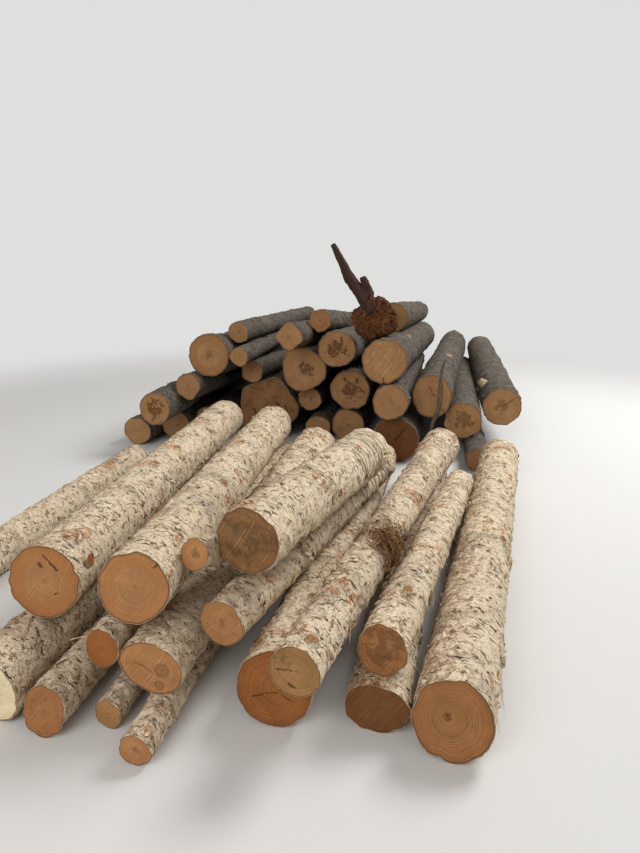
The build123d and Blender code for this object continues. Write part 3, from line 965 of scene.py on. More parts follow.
    def finish(self, roughness, height, distance, strength=0.8):
        """Send colour, roughness and fine relief to the shader."""
        inputs = {"Height": height, "Distance": distance, "Strength": strength}
        bump = self.add("ShaderNodeBump", inputs)
        self.put(self.shader.inputs["Base Color"], self.tint)
        self.put(self.shader.inputs["Roughness"], roughness)
        self.put(self.shader.inputs["Specular IOR Level"], GLOSS)
        self.put(self.shader.inputs["Normal"], bump.outputs["Normal"])
        return self.material


def solid(tint):
    """A colour with full cover, or an output as it is."""
    return tint if isinstance(tint, bpy.types.NodeSocket) else (*tint[:3], 1.0)


def shade(tint, factor):
    """The colour, lighter or darker."""
    return tuple(min(1.0, channel * factor) for channel in tint[:3])


def bark_material(colours):
    """Pine bark: small scales in cream, pink-brown and grey, short dark gashes across the stem,
    rusty places where flakes have come off, and a mossy film at the rings of old branches.
    Painted shade darkens its cracks, grooves and wrinkles, each log's left side and the back row."""
    graph = Graph("pine_bark")
    place = graph.own_place("site", 37.0)
    aged, whorl, groove = graph.value_of("aged"), graph.value_of("whorl"), graph.value_of("groove")
    ripple = graph.noise(place, 24.0, 3.0, output="Color")
    warped = graph.vectors("ADD", place, graph.vectors("MULTIPLY", ripple, (0.03, 0.03, 0.03)))
    scale_tone = graph.part(graph.cells(warped, 62.0, "F1", "Color"), "X")
    chip_tone = graph.part(graph.cells(warped, 150.0, "F1", "Color"), "Y")
    scale_edge = graph.cells(warped, 62.0)
    broad, middle = graph.noise(place, 4.5, 4.0), graph.noise(place, 15.0, 4.0, 0.6)
    fine, grit = graph.noise(warped, 75.0, 4.0, 0.65), graph.noise(place, 260.0, 4.0, 0.7)
    # Pink-brown bark in patches, and more of it towards each log's left side: that part is painted shade
    side = graph.part(graph.vector_of("site"), "X")
    warm_and_left_shade = graph.total((middle, 0.75), (scale_tone, 0.3), (broad, 0.5), (side, -2.0))
    graph.tint = colours.bark
    graph.coat(colours.bark_warm, warm_and_left_shade, 0.7, 1.1)
    # Grey patches of weathered bark, with more of them on the back row as part of its painted shade
    grey = graph.total((broad, 1.0), (chip_tone, 0.22), (aged, 0.33))
    graph.coat(colours.bark_grey, grey, 0.66, 0.92, 0.0, 0.85)
    graph.coat(shade(colours.bark, 1.12), chip_tone, 0.5, 1.0, 0.0, 0.5)
    graph.coat(colours.bark_warm, chip_tone, 0.0, 0.35, 0.4, 0.0)
    rust = graph.times(graph.patches(place, 6.5, 4.0, 0.54, 0.64), fine)
    graph.coat(colours.bark_rust, rust, 0.36, 0.56, 0.0, 0.85)
    film = graph.patches(place, 2.6, 5.0, 0.58, 0.75, 0.0, 0.6)
    moss = graph.times(graph.math("ADD", whorl, film), graph.ramp(fine, 0.35, 0.62))
    graph.coat(colours.moss, graph.times(moss, 0.75))
    # Fine wrinkles at the rings of old branches, drawn as dark lines of painted shade where the mesh has
    # none
    waves = graph.math("SINE", graph.total((graph.part(warped, "Z"), 620.0), (middle, 16.0)))
    wrinkle = graph.times(graph.ramp(waves, 0.2, 0.9), whorl)
    graph.coat(shade(colours.bark_warm, 0.4), graph.times(wrinkle, 0.5))
    graph.coat(shade(colours.bark_warm, 0.5), grit, 0.3, 0.5, 0.65, 0.0)
    slanted = graph.noise(graph.stretched(warped, (0.5, 0.5, 1.9), (0.55, 0.6, 0.0)), 50.0, 2.0, 0.5)
    gash = graph.ramp(slanted, 0.625, 0.665)
    broken = graph.patches(place, 34.0, 2.0, 0.5, 0.58, 0.0, 0.85)
    scale_line = graph.times(graph.ramp(scale_edge, 0.02, 0.07, 1.0, 0.0), broken)
    thin = graph.patches(place, 9.0, 2.0, 0.35, 0.6, 0.35, 1.0)
    crack = graph.times(graph.math("MAXIMUM", gash, scale_line), thin)
    # Dark bands along the grooves round a log: painted shade in these grooves
    ditch = graph.times(graph.ramp(groove, 0.15, 1.0), graph.ramp(middle, 0.3, 0.6, 0.35, 0.85))
    crack = graph.math("MAXIMUM", crack, ditch)
    graph.coat(shade(colours.bark_rust, 0.7), slanted, 0.57, 0.64, 0.0, 0.4)
    # Painted shade over the back row: its bark darkened to deep grey, with paler grey chips and patches kept
    # in it
    graph.coat(shade(colours.bark_grey, 0.24), graph.times(aged, 0.85))
    pale_chips, pale_areas = graph.ramp(chip_tone, 0.7, 1.0, 0.0, 0.5), graph.ramp(broad, 0.5, 0.75)
    paler = graph.total((pale_chips, 1.0), (pale_areas, 0.3))
    graph.coat(colours.bark_grey, graph.times(aged, paler))
    # Near-black gashes, scale edges and grooves: partly painted shade in these cracks, partly the dark bark
    # deep in them
    graph.coat(colours.crack, graph.times(crack, 0.94))
    height = graph.total((scale_tone, 0.9), (chip_tone, 0.4), (fine, 1.2), (grit, 0.35), (crack, -1.8))
    return graph.finish(graph.ramp(fine, 0.2, 0.8, 0.8, 0.95), height, 0.005, 0.85)


class CutGraph(Graph):
    """Nodes of a sawn end, whose places are measured from its pith."""

    def __init__(self, name, look, radius, stack):
        super().__init__(name)
        self.look, self.radius, self.colours, self.cuts = look, radius, stack.colours, stack.cuts
        self.tone = tuple(getattr(stack.colours, look.tone))
        self.flat, self.place = self.vector_of("cut_site"), self.own_place("cut_site", 11.0)
        self.share = self.value_of("from_pith")
        self.fibre = self.noise(self.place, 380.0, 3.0, 0.7)

    def toned(self, factor, value, *ramp):
        """Lay on the wood's own tone, lighter or darker."""
        self.coat(shade(self.tone, factor), value, *ramp)

    def knot_fields(self):
        """For each knot, the distance from its middle and its radius."""
        fields = []
        for across, rise, reach in self.look.knots:
            spot = np.subtract((across, rise), self.look.pith) * self.radius
            away = self.vectors("DISTANCE", self.flat, (*spot, 0.0))
            fields.append((away, reach * self.radius))
        return fields

    def rings(self, fields):
        """Growth rings that bend round the knots, and redder sapwood. Gives the late wood."""
        look, tone = self.look, self.tone
        wander = self.total((self.noise(self.place, 11.0, 2.0), 0.012), (self.share, self.radius))
        for away, reach in fields:
            near_knot = self.ramp(away, reach, 2 * reach, 1.0, 0.0)
            wander = self.total((wander, 1.0), (near_knot, 0.6 * reach))
        year = self.math("DIVIDE", wander, self.cuts.ring_width)
        uneven = self.line_noise(self.times(year, 0.9))
        phase = self.math("FRACT", self.total((year, 1.0), (uneven, 1.6)))
        late_wood = self.times(self.ramp(phase, 0.3, 0.84), self.ramp(phase, 0.88, 1.0, 1.0, 0.0))
        self.tint = shade(tone, 0.86)
        self.toned(1.14, self.noise(self.place, 12.0, 3.0), 0.3, 0.7)
        redder = (tone[0] * 0.92, tone[1] * 0.74, tone[2] * 0.55)
        self.coat(redder, self.share, 0.5, 0.66, 0.0, 0.75 * look.sapwood)
        self.toned(0.62, uneven, 0.45, 0.65, 0.0, 0.45 * look.rings)
        depth = self.patches(self.place, 16.0, 2.0, 0.3, 0.7, 0.3 * look.rings, 0.75 * look.rings)
        self.toned(0.42, self.times(late_wood, depth))
        return late_wood

    def saw_marks(self):
        """Arcs of a saw, light ones in patches and fainter dark ones. Gives the marks."""
        marks = self.look.marks
        from_saw = self.vectors("DISTANCE", self.flat, (-0.62, 0.4, 0.0))
        saw = self.line_noise(self.math("DIVIDE", from_saw, self.cuts.saw_step), 3.0)
        patchy = self.patches(self.place, 19.0, 4.0, 0.4, 0.62, 0.0, 0.75 * marks)
        self.toned(2.1, self.times(self.ramp(saw, 0.56, 0.66), patchy))
        self.toned(0.5, saw, 0.44, 0.34, 0.0, 0.35 * marks)
        self.toned(0.5, self.fibre, 0.33, 0.66, 0.3, 0.0)
        return saw

    def stains(self):
        """Clouds of darker wood, wider the stronger they are."""
        low = 0.68 - 0.28 * self.look.stain
        cloud = self.noise(self.place, 18.0, 6.0, 0.7, 0.5)
        self.toned(0.36, cloud, low, low + 0.16, 0.0, 0.3 + 0.5 * self.look.stain)

    def heart(self):
        """A darker heart about the pith, with a ragged, lobed outline and paler places in it."""
        reach = self.look.heart_reach
        lobes, crumbs = self.noise(self.place, 26.0, 2.0), self.noise(self.place, 75.0, 4.0, 0.7)
        outline = self.total((lobes, 2.4 * reach), (crumbs, 0.7 * reach))
        gap = self.total((self.share, 1.0), (outline, -1.0), (reach, 1.0))
        inside = self.ramp(gap, -0.12 * reach, 0.16 * reach, 1.0, 0.0)
        patchy = self.ramp(crumbs, 0.3, 0.55, 0.35, 0.9)
        strength = self.total((self.times(inside, patchy), self.look.heart))
        self.coat(shade(self.colours.amber, 0.34), strength)

    def specks(self):
        """Small black specks, in patches."""
        dots = self.ramp(self.cells(self.place, 105.0, "F1"), 0.14, 0.3, self.look.specks, 0.0)
        self.coat((0.03, 0.024, 0.018), self.times(dots, self.patches(self.place, 21.0, 4.0, 0.48, 0.6)))

    def moss(self):
        """A green-grey film over the upper left."""
        radius = self.radius
        away = self.vectors("DISTANCE", self.flat, (-0.62 * radius, 0.5 * radius, 0.0))
        film = self.ramp(away, 0.1 * radius, 0.7 * radius, self.look.moss, 0.0)
        thin = self.patches(self.place, 55.0, 4.0, 0.42, 0.62, roughness=0.65)
        self.coat((0.1, 0.09, 0.032), self.times(film, thin))

    def knots(self, fields):
        """Knots: darker ovals with rings of their own and a dark ragged edge."""
        for away, reach in fields:
            ragged = self.noise(self.place, 60.0, 3.0)
            away = self.total((away, 1.0), (ragged, 0.5 * reach), (reach, -0.25))
            year = self.line_noise(self.math("DIVIDE", away, 0.0024))
            inside = self.mix(self.ramp(year, 0.35, 0.65), shade(self.tone, 0.8), shade(self.tone, 0.4))
            self.coat(inside, away, 0.75 * reach, reach, 0.85, 0.0)
            edge = self.math("ABSOLUTE", self.math("SUBTRACT", away, 0.92 * reach))
            self.toned(0.2, edge, 0.0004, 0.0024, 0.7, 0.0)

    def cracks(self, height):
        """The look's strokes as wavering dark cracks. Gives the height with them cut in."""
        ripple = self.noise(self.place, 70.0, 4.0, output="Color")
        bent = self.vectors("ADD", self.flat, self.vectors("MULTIPLY", ripple, (0.014, 0.014, 0.0)))
        for right_1, up_1, right_2, up_2, width in self.look.strokes:
            ends = np.array([[right_1, up_1], [right_2, up_2]]) - self.look.pith
            start, end = (tuple(np.append(spot * self.radius + 0.007, 0.0)) for spot in ends)
            line = self.stroke(bent, start, end, width * self.radius)
            line = self.times(line, self.ramp(self.fibre, 0.3, 0.5, 0.45, 1.0))
            self.coat(shade(self.colours.amber, 0.2), self.times(line, 0.8))
            height = self.total((height, 1.0), (line, -1.5))
        return height

    def rim(self, height):
        """A dark dot at the pith, and a dark line and bark at the edge. Gives the height."""
        self.toned(0.3, self.vectors("LENGTH", self.flat), 0.0012, 0.0036, 0.8, 0.0)
        edge = self.total((self.share, 1.0), (self.noise(self.place, 70.0, 3.0), 0.035))
        self.coat((0.085, 0.045, 0.024), edge, 0.962, 0.977, 0.0, 0.85)
        self.coat(self.colours.bark_warm, edge, 0.99, 1.002, 0.0, 0.8)
        return self.total((height, 1.0), (self.ramp(edge, 0.958, 0.98), -1.2))


def cut_material(name, look, radius, stack):
    """A sawn end: its rings and saw marks first, then what lies over them."""
    graph = CutGraph(name, look, radius, stack)
    fields = graph.knot_fields()
    late_wood = graph.rings(fields)
    saw = graph.saw_marks()
    graph.stains()
    height = graph.total((late_wood, 0.25), (graph.fibre, 0.6), (saw, 0.7 * look.marks + 0.3))
    if look.heart:
        graph.heart()
    if look.specks:
        graph.specks()
    if look.moss:
        graph.moss()
    graph.knots(fields)
    return graph.finish(0.85, graph.rim(graph.cracks(height)), 0.0016, 0.6)


def flake_material(colours):
    """Loose flakes: pale skin with rusty ones among them, each with a tone of its own."""
    graph = Graph("bark_flake")
    own, place, aged = graph.value_of("own_tone"), graph.vector_of("site"), graph.value_of("aged")
    graph.tint = shade(colours.bark, 1.05)
    graph.coat(colours.bark_warm, own, 0.25, 0.9)
    fine = graph.noise(place, 150.0, 4.0, 0.65)
    rust = graph.times(graph.ramp(own, 0.9, 0.94), graph.ramp(fine, 0.35, 0.6, 0.2, 0.8))
    graph.coat(shade(colours.bark_rust, 0.85), rust)
    graph.coat(shade(colours.bark_warm, 0.5), fine, 0.32, 0.6, 0.55, 0.0)
    # Painted shade: the back row's flakes are darkened towards deep grey
    graph.coat(shade(colours.bark_grey, 0.4), graph.times(aged, 0.8))
    return graph.finish(0.9, fine, 0.002)


def rotten_material(colours):
    """Rotten wood: reddish crumbling fibres with orange patches, and black spots of painted shade in its
    hollows.
    """
    graph = Graph("rotten_wood")
    place = graph.vector_of("site")
    drawn = graph.stretched(place, (1.0, 1.0, 0.22))
    fibre, crumb = graph.noise(drawn, 70.0, 5.0, 0.7, 0.4), graph.noise(place, 32.0, 5.0, 0.7)
    patch = graph.noise(place, 15.0, 4.0, 0.6)
    graph.tint = shade(colours.rotten, 0.4)
    graph.coat(shade(colours.rotten, 1.4), fibre, 0.4, 0.6)
    graph.coat((0.27, 0.1, 0.025), patch, 0.53, 0.66, 0.0, 0.8)
    graph.coat((0.18, 0.09, 0.042), crumb, 0.58, 0.68, 0.0, 0.6)
    # Painted shade: near-black spots where the crumbling wood's hollows lie in shade
    graph.coat((0.012, 0.006, 0.004), crumb, 0.38, 0.47, 0.93, 0.0)
    skin = graph.times(graph.value_of("skin"), graph.ramp(patch, 0.3, 0.5, 0.4, 1.0))
    graph.coat((0.055, 0.034, 0.028), skin)
    return graph.finish(0.92, graph.total((fibre, 1.0), (crumb, 1.3)), 0.012, 1.0)


def stick_material(colours):
    """A bare weathered stick: grey-brown, streaked along its length."""
    graph = Graph("weathered_stick")
    place = graph.vector_of("site")
    streak = graph.noise(graph.stretched(place, (1.0, 1.0, 0.12)), 190.0, 4.0, 0.6)
    patch = graph.noise(place, 20.0, 3.0)
    graph.tint = shade(colours.stick, 0.5)
    graph.coat(shade(colours.stick, 1.5), streak, 0.35, 0.65)
    graph.coat((0.1, 0.055, 0.03), patch, 0.5, 0.66, 0.0, 0.7)
    return graph.finish(0.85, streak, 0.003)


def litter_material(colours):
    """Dry twigs and needles: dark brown to orange and straw, each with a tone of its own."""
    graph = Graph("dry_litter")
    own, place = graph.value_of("own_tone"), graph.vector_of("site")
    graph.tint = shade(colours.litter, 0.25)
    graph.coat(shade(colours.litter, 1.7), own, 0.0, 0.6)
    graph.coat((0.42, 0.19, 0.07), own, 0.6, 0.8, 0.0, 0.9)
    graph.coat((0.55, 0.4, 0.22), own, 0.88, 0.94, 0.0, 0.9)
    fine = graph.noise(place, 220.0, 3.0)
    graph.coat(shade(colours.litter, 0.4), fine, 0.3, 0.6, 0.5, 0.0)
    return graph.finish(0.9, fine, 0.001)


def fibre_material(colours):
    """Torn strips of inner bark and wood: pale, streaked along their length."""
    graph = Graph("torn_fibre")
    own, place = graph.value_of("own_tone"), graph.vector_of("site")
    streak = graph.noise(graph.stretched(place, (1.0, 1.0, 0.2)), 400.0, 3.0, 0.65)
    graph.tint = tuple(colours.pale)
    graph.coat(colours.fresh, own, 0.1, 0.6)
    graph.coat(shade(colours.bark_warm, 0.4), own, 0.6, 0.9)
    graph.coat(colours.bark_warm, streak, 0.3, 0.6, 0.6, 0.0)
    return graph.finish(0.88, streak, 0.0015)


def bark_of(stack):
    """The bark's material, made when it is first asked for."""
    return bpy.data.materials.get("pine_bark") or bark_material(stack.colours)


def hand_over(shape, name, materials, slot, *nodes):
    """Make a piece that rides on the stack and stands for its nodes. The slot is not used."""
    piece = shape.piece(name, materials)
    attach(piece, BODY)
    if nodes:
        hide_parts(*nodes)


def dress_logs(context, names, step, aged):
    """Bark and sawn ends for the named nodes."""
    stack = settings(context)
    if not names:
        raise RuntimeError("the frame has no logs of this row")
    bark = bark_of(stack)
    plain = bpy.data.materials.get("plain_end")
    plain = plain or cut_material("plain_end", PLAIN_BACK_LOOK, PLAIN_RADIUS, stack)
    for name in names:
        log = Log(name)
        look = CUT_LOOKS.get(name, PLAIN_BACK_LOOK)
        near = cut_material(name + "_end", look, log.radius, stack) if name in CUT_LOOKS else plain
        # The last value is the share of painted shade on the bark
        shape = log_shape(log, step, stack.bark, (look, PLAIN_BACK_LOOK), aged)
        hand_over(shape, "barked_" + name, (bark, near, plain), "pine_log", name)


class LOG_STACK_OT_front_row(bpy.types.Operator):
    """Dress the logs of the front row"""

    bl_idname = "log_stack.front_row"
    bl_label = "Front Row"

    def execute(self, context):
        """Build the front logs."""
        dress_logs(context, FRONT_LOGS, settings(context).bark.front_step, 0.0)
        return {"FINISHED"}


class LOG_STACK_OT_back_row(bpy.types.Operator):
    """Dress the logs of the back row"""

    bl_idname = "log_stack.back_row"
    bl_label = "Back Row"

    def execute(self, context):
        """Build the back logs."""
        # The back row's bark is darkened in full as painted shade
        dress_logs(context, BACK_LOGS, settings(context).bark.back_step, 1.0)
        return {"FINISHED"}


def add_knot(shape, log, knot, bark, sides=20):
    """A cut branch K(s, a): a profile of share s from a wide collar under the bark, up a short
    neck to a flat top with a soft edge, turned round the branch's axis by angle a."""
    turn = np.array([knot.turns * TURN])
    along, radius = log.barked(np.array([knot.along / log.length]), turn, bark)[:2]
    out = log.outward(turn[0])
    half, rise = knot.diameter / 2, knot.rise
    widths = np.array([1.75, 1.45, 1.16, 1.04, 1.0, 0.93, 0.8, 0.5, 0.2]) * half
    heights = np.array([-0.3 * half, 0.001, 0.45 * rise, 0.8 * rise, 0.95 * rise, *[rise] * 4])
    angle = round_angles(sides)
    chance = np.random.default_rng(log.seed + int(1000 * knot.along))
    phases = chance.uniform(0, TURN, 2)
    wave = 1 + 0.07 * np.cos(2 * angle + phases[0]) + 0.05 * np.cos(3 * angle + phases[1])
    ring_along, ring_beside = cartesian(widths[:, None] * wave, angle)
    drop = (heights < 0.4 * rise)[:, None] * 0.5 * ring_beside**2 / radius[0]
    local = np.stack([ring_along, ring_beside, heights[:, None] - drop], axis=-1).reshape(-1, 3)
    local = np.vstack([local, [[0.0, 0.0, rise]]])
    share = np.append(np.repeat(np.clip(widths / half, 0, 1), sides), 0.0)
    turned = local @ np.stack([log.ahead, np.cross(out, log.ahead), out])
    first = shape.add_points(
        log.place(along, turn, radius)[0] + turned, site=local + (0, 0, knot.along),
        cut_site=local * (1, 1, 0), from_pith=share, whorl=0.6, groove=0.0, aged=0.0,
        own_tone=chance.uniform(),
    )
    faces = grid_faces(len(widths), sides, start=first)
    slot = {"straw": 1, "amber": 2}[knot.tone]
    top = len(faces)
    shape.add_faces(faces[: 4 * sides])
    shape.add_faces(faces[4 * sides :], slot)
    shape.add_faces(fan_faces(first + top + sides, first + top + np.arange(sides)), slot)


class LOG_STACK_OT_knots(bpy.types.Operator):
    """Put the stubs of cut branches on the logs"""

    bl_idname = "log_stack.knots"
    bl_label = "Cut Branches"

    def execute(self, context):
        """Build all stubs as one piece."""
        stack = settings(context)
        shape = Shape()
        for name, knots in KNOTS.items():
            log = Log(name)
            for knot in knots:
                add_knot(shape, log, knot, stack.bark)
        straw = cut_material("straw_knot", KNOT_LOOK, KNOT_RADIUS, stack)
        amber = cut_material("amber_knot", KNOT_LOOK._replace(tone="amber"), KNOT_RADIUS, stack)
        hand_over(shape, "cut_branches", (bark_of(stack), straw, amber), "pine_log")
        return {"FINISHED"}


def sheet_faces(amount, rows, columns):
    """Faces of thin closed sheets, each with its upper points first and its lower ones next."""
    layer = rows * columns
    upper = grid_faces(rows, columns, closed=False)[:, ::-1]
    numbers = np.arange(layer).reshape(rows, columns)
    rim = np.concatenate([numbers[0, :-1], numbers[:-1, -1], numbers[-1, :0:-1], numbers[:0:-1, 0]])
    following = np.roll(rim, -1)
    wall = np.stack([rim, following, following + layer, rim + layer], axis=1)
    faces = np.vstack([upper, upper[:, ::-1] + layer, wall])
    return (np.arange(amount)[:, None, None] * 2 * layer + faces).reshape(-1, 4)


def add_flakes(shape, log, flakes, bark, density, aged):
    """Curled flakes F(u, v) on a log: u along and v across a flake, turned at random, with a
    ragged outline, its free end lifted by the square of u and its other end under the skin."""
    chance = log.chance("flakes")
    first_turn, last_turn = FLAKE_TURNS
    amount = round(density * TURN * log.radius * log.length * (last_turn - first_turn))
    one_each = (amount, 1, 1)
    u, v = np.meshgrid(np.linspace(-1, 1, 4), np.linspace(-1, 1, 3), indexing="ij")
    middle = chance.uniform(0.02, log.length - 0.02, one_each)
    angle = chance.uniform(first_turn, last_turn, one_each) * TURN
    turn = chance.uniform(0, TURN, one_each)
    rough_u, rough_v = chance.uniform(-0.28, 0.28, (2, amount, *u.shape))
    ahead = (u + rough_u) * chance.uniform(0.5, 1.5, one_each) * flakes.length / 2
    aside = (v * (1 - 0.4 * u**2) + rough_v) * chance.uniform(0.5, 1.2, one_each) * flakes.width / 2
    share = (middle + ahead * np.cos(turn) - aside * np.sin(turn)) / log.length
    angles = angle + (ahead * np.sin(turn) + aside * np.cos(turn)) / log.radius
    lift = flakes.curl * chance.uniform(0.3, 1.2, one_each) * np.clip((u + 0.5) / 1.5, 0, 1) ** 2
    lift = lift + 0.0012 * chance.uniform(-1, 1, (amount, *u.shape)) - 0.0022 * (u < -0.5)
    along, radius = log.barked(np.clip(share, 0, 1), angles % TURN, bark)[:2]
    half = flakes.thickness / 2
    both = np.stack([log.place(along, angles, radius + lift + side) for side in (half, -half)], axis=1)
    own = np.repeat(chance.uniform(0, 1, amount), 2 * u.size)
    first = shape.add_points(both, site=both, own_tone=own, aged=aged)
    shape.add_faces(first + sheet_faces(amount, *u.shape))


class LOG_STACK_OT_flakes(bpy.types.Operator):
    """Put curled flakes of bark on the logs"""

    bl_idname = "log_stack.flakes"
    bl_label = "Bark Flakes"

    def execute(self, context):
        """Build all flakes as one piece."""
        stack = settings(context)
        flakes = stack.flakes
        shape = Shape()
        # Each row with its flakes to a square metre and its share of painted shade
        rows = (FRONT_LOGS, flakes.density, 0.0), (BACK_LOGS, flakes.back_density, 1.0)
        for names, density, aged in rows:
            for name in names:
                add_flakes(shape, Log(name), flakes, stack.bark, density, aged)
        hand_over(shape, "bark_flakes", (flake_material(stack.colours),), "pine_log")
        return {"FINISHED"}


def smooth_path(points, steps):
    """Points along a smooth line: between two points a cubic that passes through both, with
    its slope at each point towards that point's neighbours."""
    points = np.asarray(points, dtype=float)
    padded = np.vstack([2 * points[0] - points[1], points, 2 * points[-1] - points[-2]])
    place = np.linspace(0, len(points) - 1, steps)
    part = np.minimum(place.astype(int), len(points) - 2)
    t = (place - part)[:, None]
    before, start, end, after = (padded[part + i] for i in range(4))
    square = 2 * before - 5 * start + 4 * end - after
    cube = 3 * start - 3 * end + after - before
    return 0.5 * (2 * start + (end - before) * t + square * t**2 + cube * t**3)


def add_limb(shape, path, radii, sides, roughness, seed, side=(0.12, 0.97, 0.2), flatness=1.0, **values):
    """A limb L(s, a): a ring of angle a about the path at share s, its radius moved by ridges
    that wind along it, with both ends closed."""
    steps = len(path)
    chance = np.random.default_rng(seed)
    run = units(np.gradient(path, axis=0))
    beside = units(np.cross(run, side))
    above = np.cross(beside, run) * flatness
    angle = round_angles(sides)
    share = np.linspace(0, 1, steps)[:, None]
    ridges = chance.uniform(-0.7, 0.7, (steps, sides))
    for turns in (2, 3, 5, 7):
        wind, phase, wave = chance.uniform(-6, 6), chance.uniform(0, TURN), chance.uniform(5, 25)
        ridges += np.cos(turns * angle + phase + wind * share + 0.8 * np.sin(wave * share)) / turns**0.5
    across, rise = cartesian(radii[:, None] * (1 + roughness * ridges), angle)
    points = path[:, None] + across[..., None] * beside[:, None] + rise[..., None] * above[:, None]
    distance = np.append(0, np.cumsum(np.linalg.norm(np.diff(path, axis=0), axis=1)))
    site = np.stack([across, rise, np.broadcast_to(distance[:, None], across.shape)], axis=-1)
    first = shape.add_points(points, site=site, **values)
    shape.add_faces(grid_faces(steps, sides, start=first)[:, ::-1])
    for row, flipped in ((0, False), (steps - 1, True)):
        middle = shape.add_points(path[row], site=[[0.0, 0.0, distance[row]]], **values)
        shape.add_faces(fan_faces(middle, first + row * sides + np.arange(sides), flipped))


def limb_line(limb, steps, origin, across, up):
    """The smooth path and the radii of a limb, from its table of shares across and up, and
    diameters."""
    shares_across, shares_up, diameters = np.transpose(limb)[..., None]
    path = smooth_path(origin + shares_across * across + shares_up * up, steps)
    return path, smooth_path(diameters / 2, steps)[:, 0]


class LOG_STACK_OT_strips(bpy.types.Operator):
    """Hang torn strips of fibre on the front logs"""

    bl_idname = "log_stack.strips"
    bl_label = "Torn Strips"

    def execute(self, context):
        """Build all strips as one piece."""
        stack = settings(context)
        shape = Shape()
        for number, strip in enumerate(STRIPS):
            log = Log(strip.log)
            along, turns, rise = smooth_path(strip.path, 14).T
            angle = turns * TURN
            radius = log.barked(np.clip(along / log.length, 0, 1), angle % TURN, stack.bark)[1]
            path = log.place(along, angle, radius + rise)
            radii = strip.width / 2 * np.interp(np.linspace(0, 1, 14), (0, 0.2, 0.7, 1), (0.7, 1, 0.8, 0.12))
            out = log.outward(0.5 * (angle[0] + angle[-1]))
            add_limb(shape, path, radii, 8, 0.07, 40 + number, out, 0.2, own_tone=strip.tone)
        hand_over(shape, "torn_strips", (fibre_material(stack.colours),), "pine_log")
        return {"FINISHED"}


def add_needles(shape, log, litter):
    """Needles N(t, a) on a log: a ring of three corners at angle a about the bent line
    start + t run + t^2 bend, thinner towards its tip."""
    chance = np.random.default_rng(61)
    amount, steps, sides = litter.needles, 6, 3
    along = LITTER_PLACE[0] + 0.8 * litter.spread * chance.normal(size=amount)
    angle = (LITTER_PLACE[1] + 0.085 * chance.normal(size=amount)) * TURN
    depth = log.surface(along / log.length, angle % TURN)[1]
    height = depth + 0.004 + np.abs(chance.normal(size=amount)) * 0.35 * litter.spread
    middle = log.place(along, angle, height)
    from_start = middle - log.start
    out = units(from_start - (from_start @ log.ahead)[:, None] * log.ahead)
    ways = chance.normal(size=(amount, 3))
    ways = units(ways - 0.85 * (ways * out).sum(axis=1)[:, None] * out)
    thick = chance.uniform(size=amount) < 0.12
    run = ways * (litter.length * chance.uniform(0.35, 1.3, amount) * np.where(thick, 0.6, 1))[:, None]
    bend = -out * (run**2).sum(axis=1)[:, None] * chance.uniform(1.0, 5.0, (amount, 1))
    beside = units(np.cross(ways, out))
    above = np.cross(beside, ways)
    t = np.linspace(-0.5, 0.5, steps)[None, :, None, None]
    turn = round_angles(sides)[:, None]
    girth = (litter.thickness / 2 * np.where(thick, 2.6, 1))[:, None, None, None] * (1.1 - t)
    line = middle[:, None, None] + t * run[:, None, None] + t**2 * bend[:, None, None]
    points = line + girth * (np.cos(turn) * beside[:, None, None] + np.sin(turn) * above[:, None, None])
    own = np.repeat(chance.uniform(0, 1, amount) * np.where(thick, 0.5, 1), steps * sides)
    shape.add_points(points, site=points, own_tone=own)
    offsets = (np.arange(amount) * steps * sides)[:, None, None]
    shape.add_faces((offsets + grid_faces(steps, sides)[:, ::-1]).reshape(-1, 4))
    ends = np.array([[0, 1, 2], (steps - 1) * sides + np.array([2, 1, 0])])
    shape.add_faces((offsets + ends).reshape(-1, 3))


class LOG_STACK_OT_litter(bpy.types.Operator):
    """Drop dry needles and twigs between two front logs"""

    bl_idname = "log_stack.litter"
    bl_label = "Needles and Twigs"

    def execute(self, context):
        """Build all needles as one piece."""
        stack = settings(context)
        shape = Shape()
        add_needles(shape, Log(LITTER_LOG), stack.litter)
        hand_over(shape, "dry_litter", (litter_material(stack.colours),), "pine_log")
        return {"FINISHED"}


class LOG_STACK_OT_stump(bpy.types.Operator):
    """Build the rotten stump and its forked root"""

    bl_idname = "log_stack.stump"
    bl_label = "Rotten Stump"

    def execute(self, context):
        """Build the stump's body, its limbs and the splinters round its near end as one piece."""
        low, high = (np.array(corner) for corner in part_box("rotten_stump"))
        near, far = (low + np.array(spot) * (high - low) for spot in (STUMP_NEAR, STUMP_FAR))
        axis = Axis(near, far)
        shape = Shape()
        share = np.linspace(0.02, 0.98, 30)
        body = near + share[:, None] * (far - near)
        add_limb(shape, body, np.interp(share, *STUMP_GIRTH), 64, 0.085, 4, UPWARDS, skin=0.1)
        middle = near + LIMB_FOOT * (far - near)
        for limb, seed in ((ROOT, 9), (PRONG, 12)):
            path, radii = limb_line(limb, 34, middle, axis.right, axis.up)
            add_limb(shape, path, 1.1 * radii, 26, 0.12, seed, skin=0.9)
        chance = np.random.default_rng(31)
        for number in range(SPLINTERS):
            angle, reach = chance.uniform(0, TURN), chance.uniform(0.015, 0.045)
            out = axis.outward(angle)
            foot = near + chance.uniform(0.0, 0.3) * (far - near) + 0.115 * out
            tip = foot - chance.uniform(0.0, 0.04) * axis.ahead + (0.02 + reach) * out
            tip = tip + 0.3 * reach * axis.right
            path = smooth_path([foot + 0.05 * axis.ahead, foot + 0.02 * out, tip], 10)
            girth = np.linspace(0.018, 0.003, 10)
            add_limb(shape, path, girth, 8, 0.2, 50 + number, axis.ahead, 0.6, skin=0.3)
        material = rotten_material(settings(context).colours)
        hand_over(shape, "crumbling_stump", (material,), "rotten_wood", "rotten_stump")
        return {"FINISHED"}


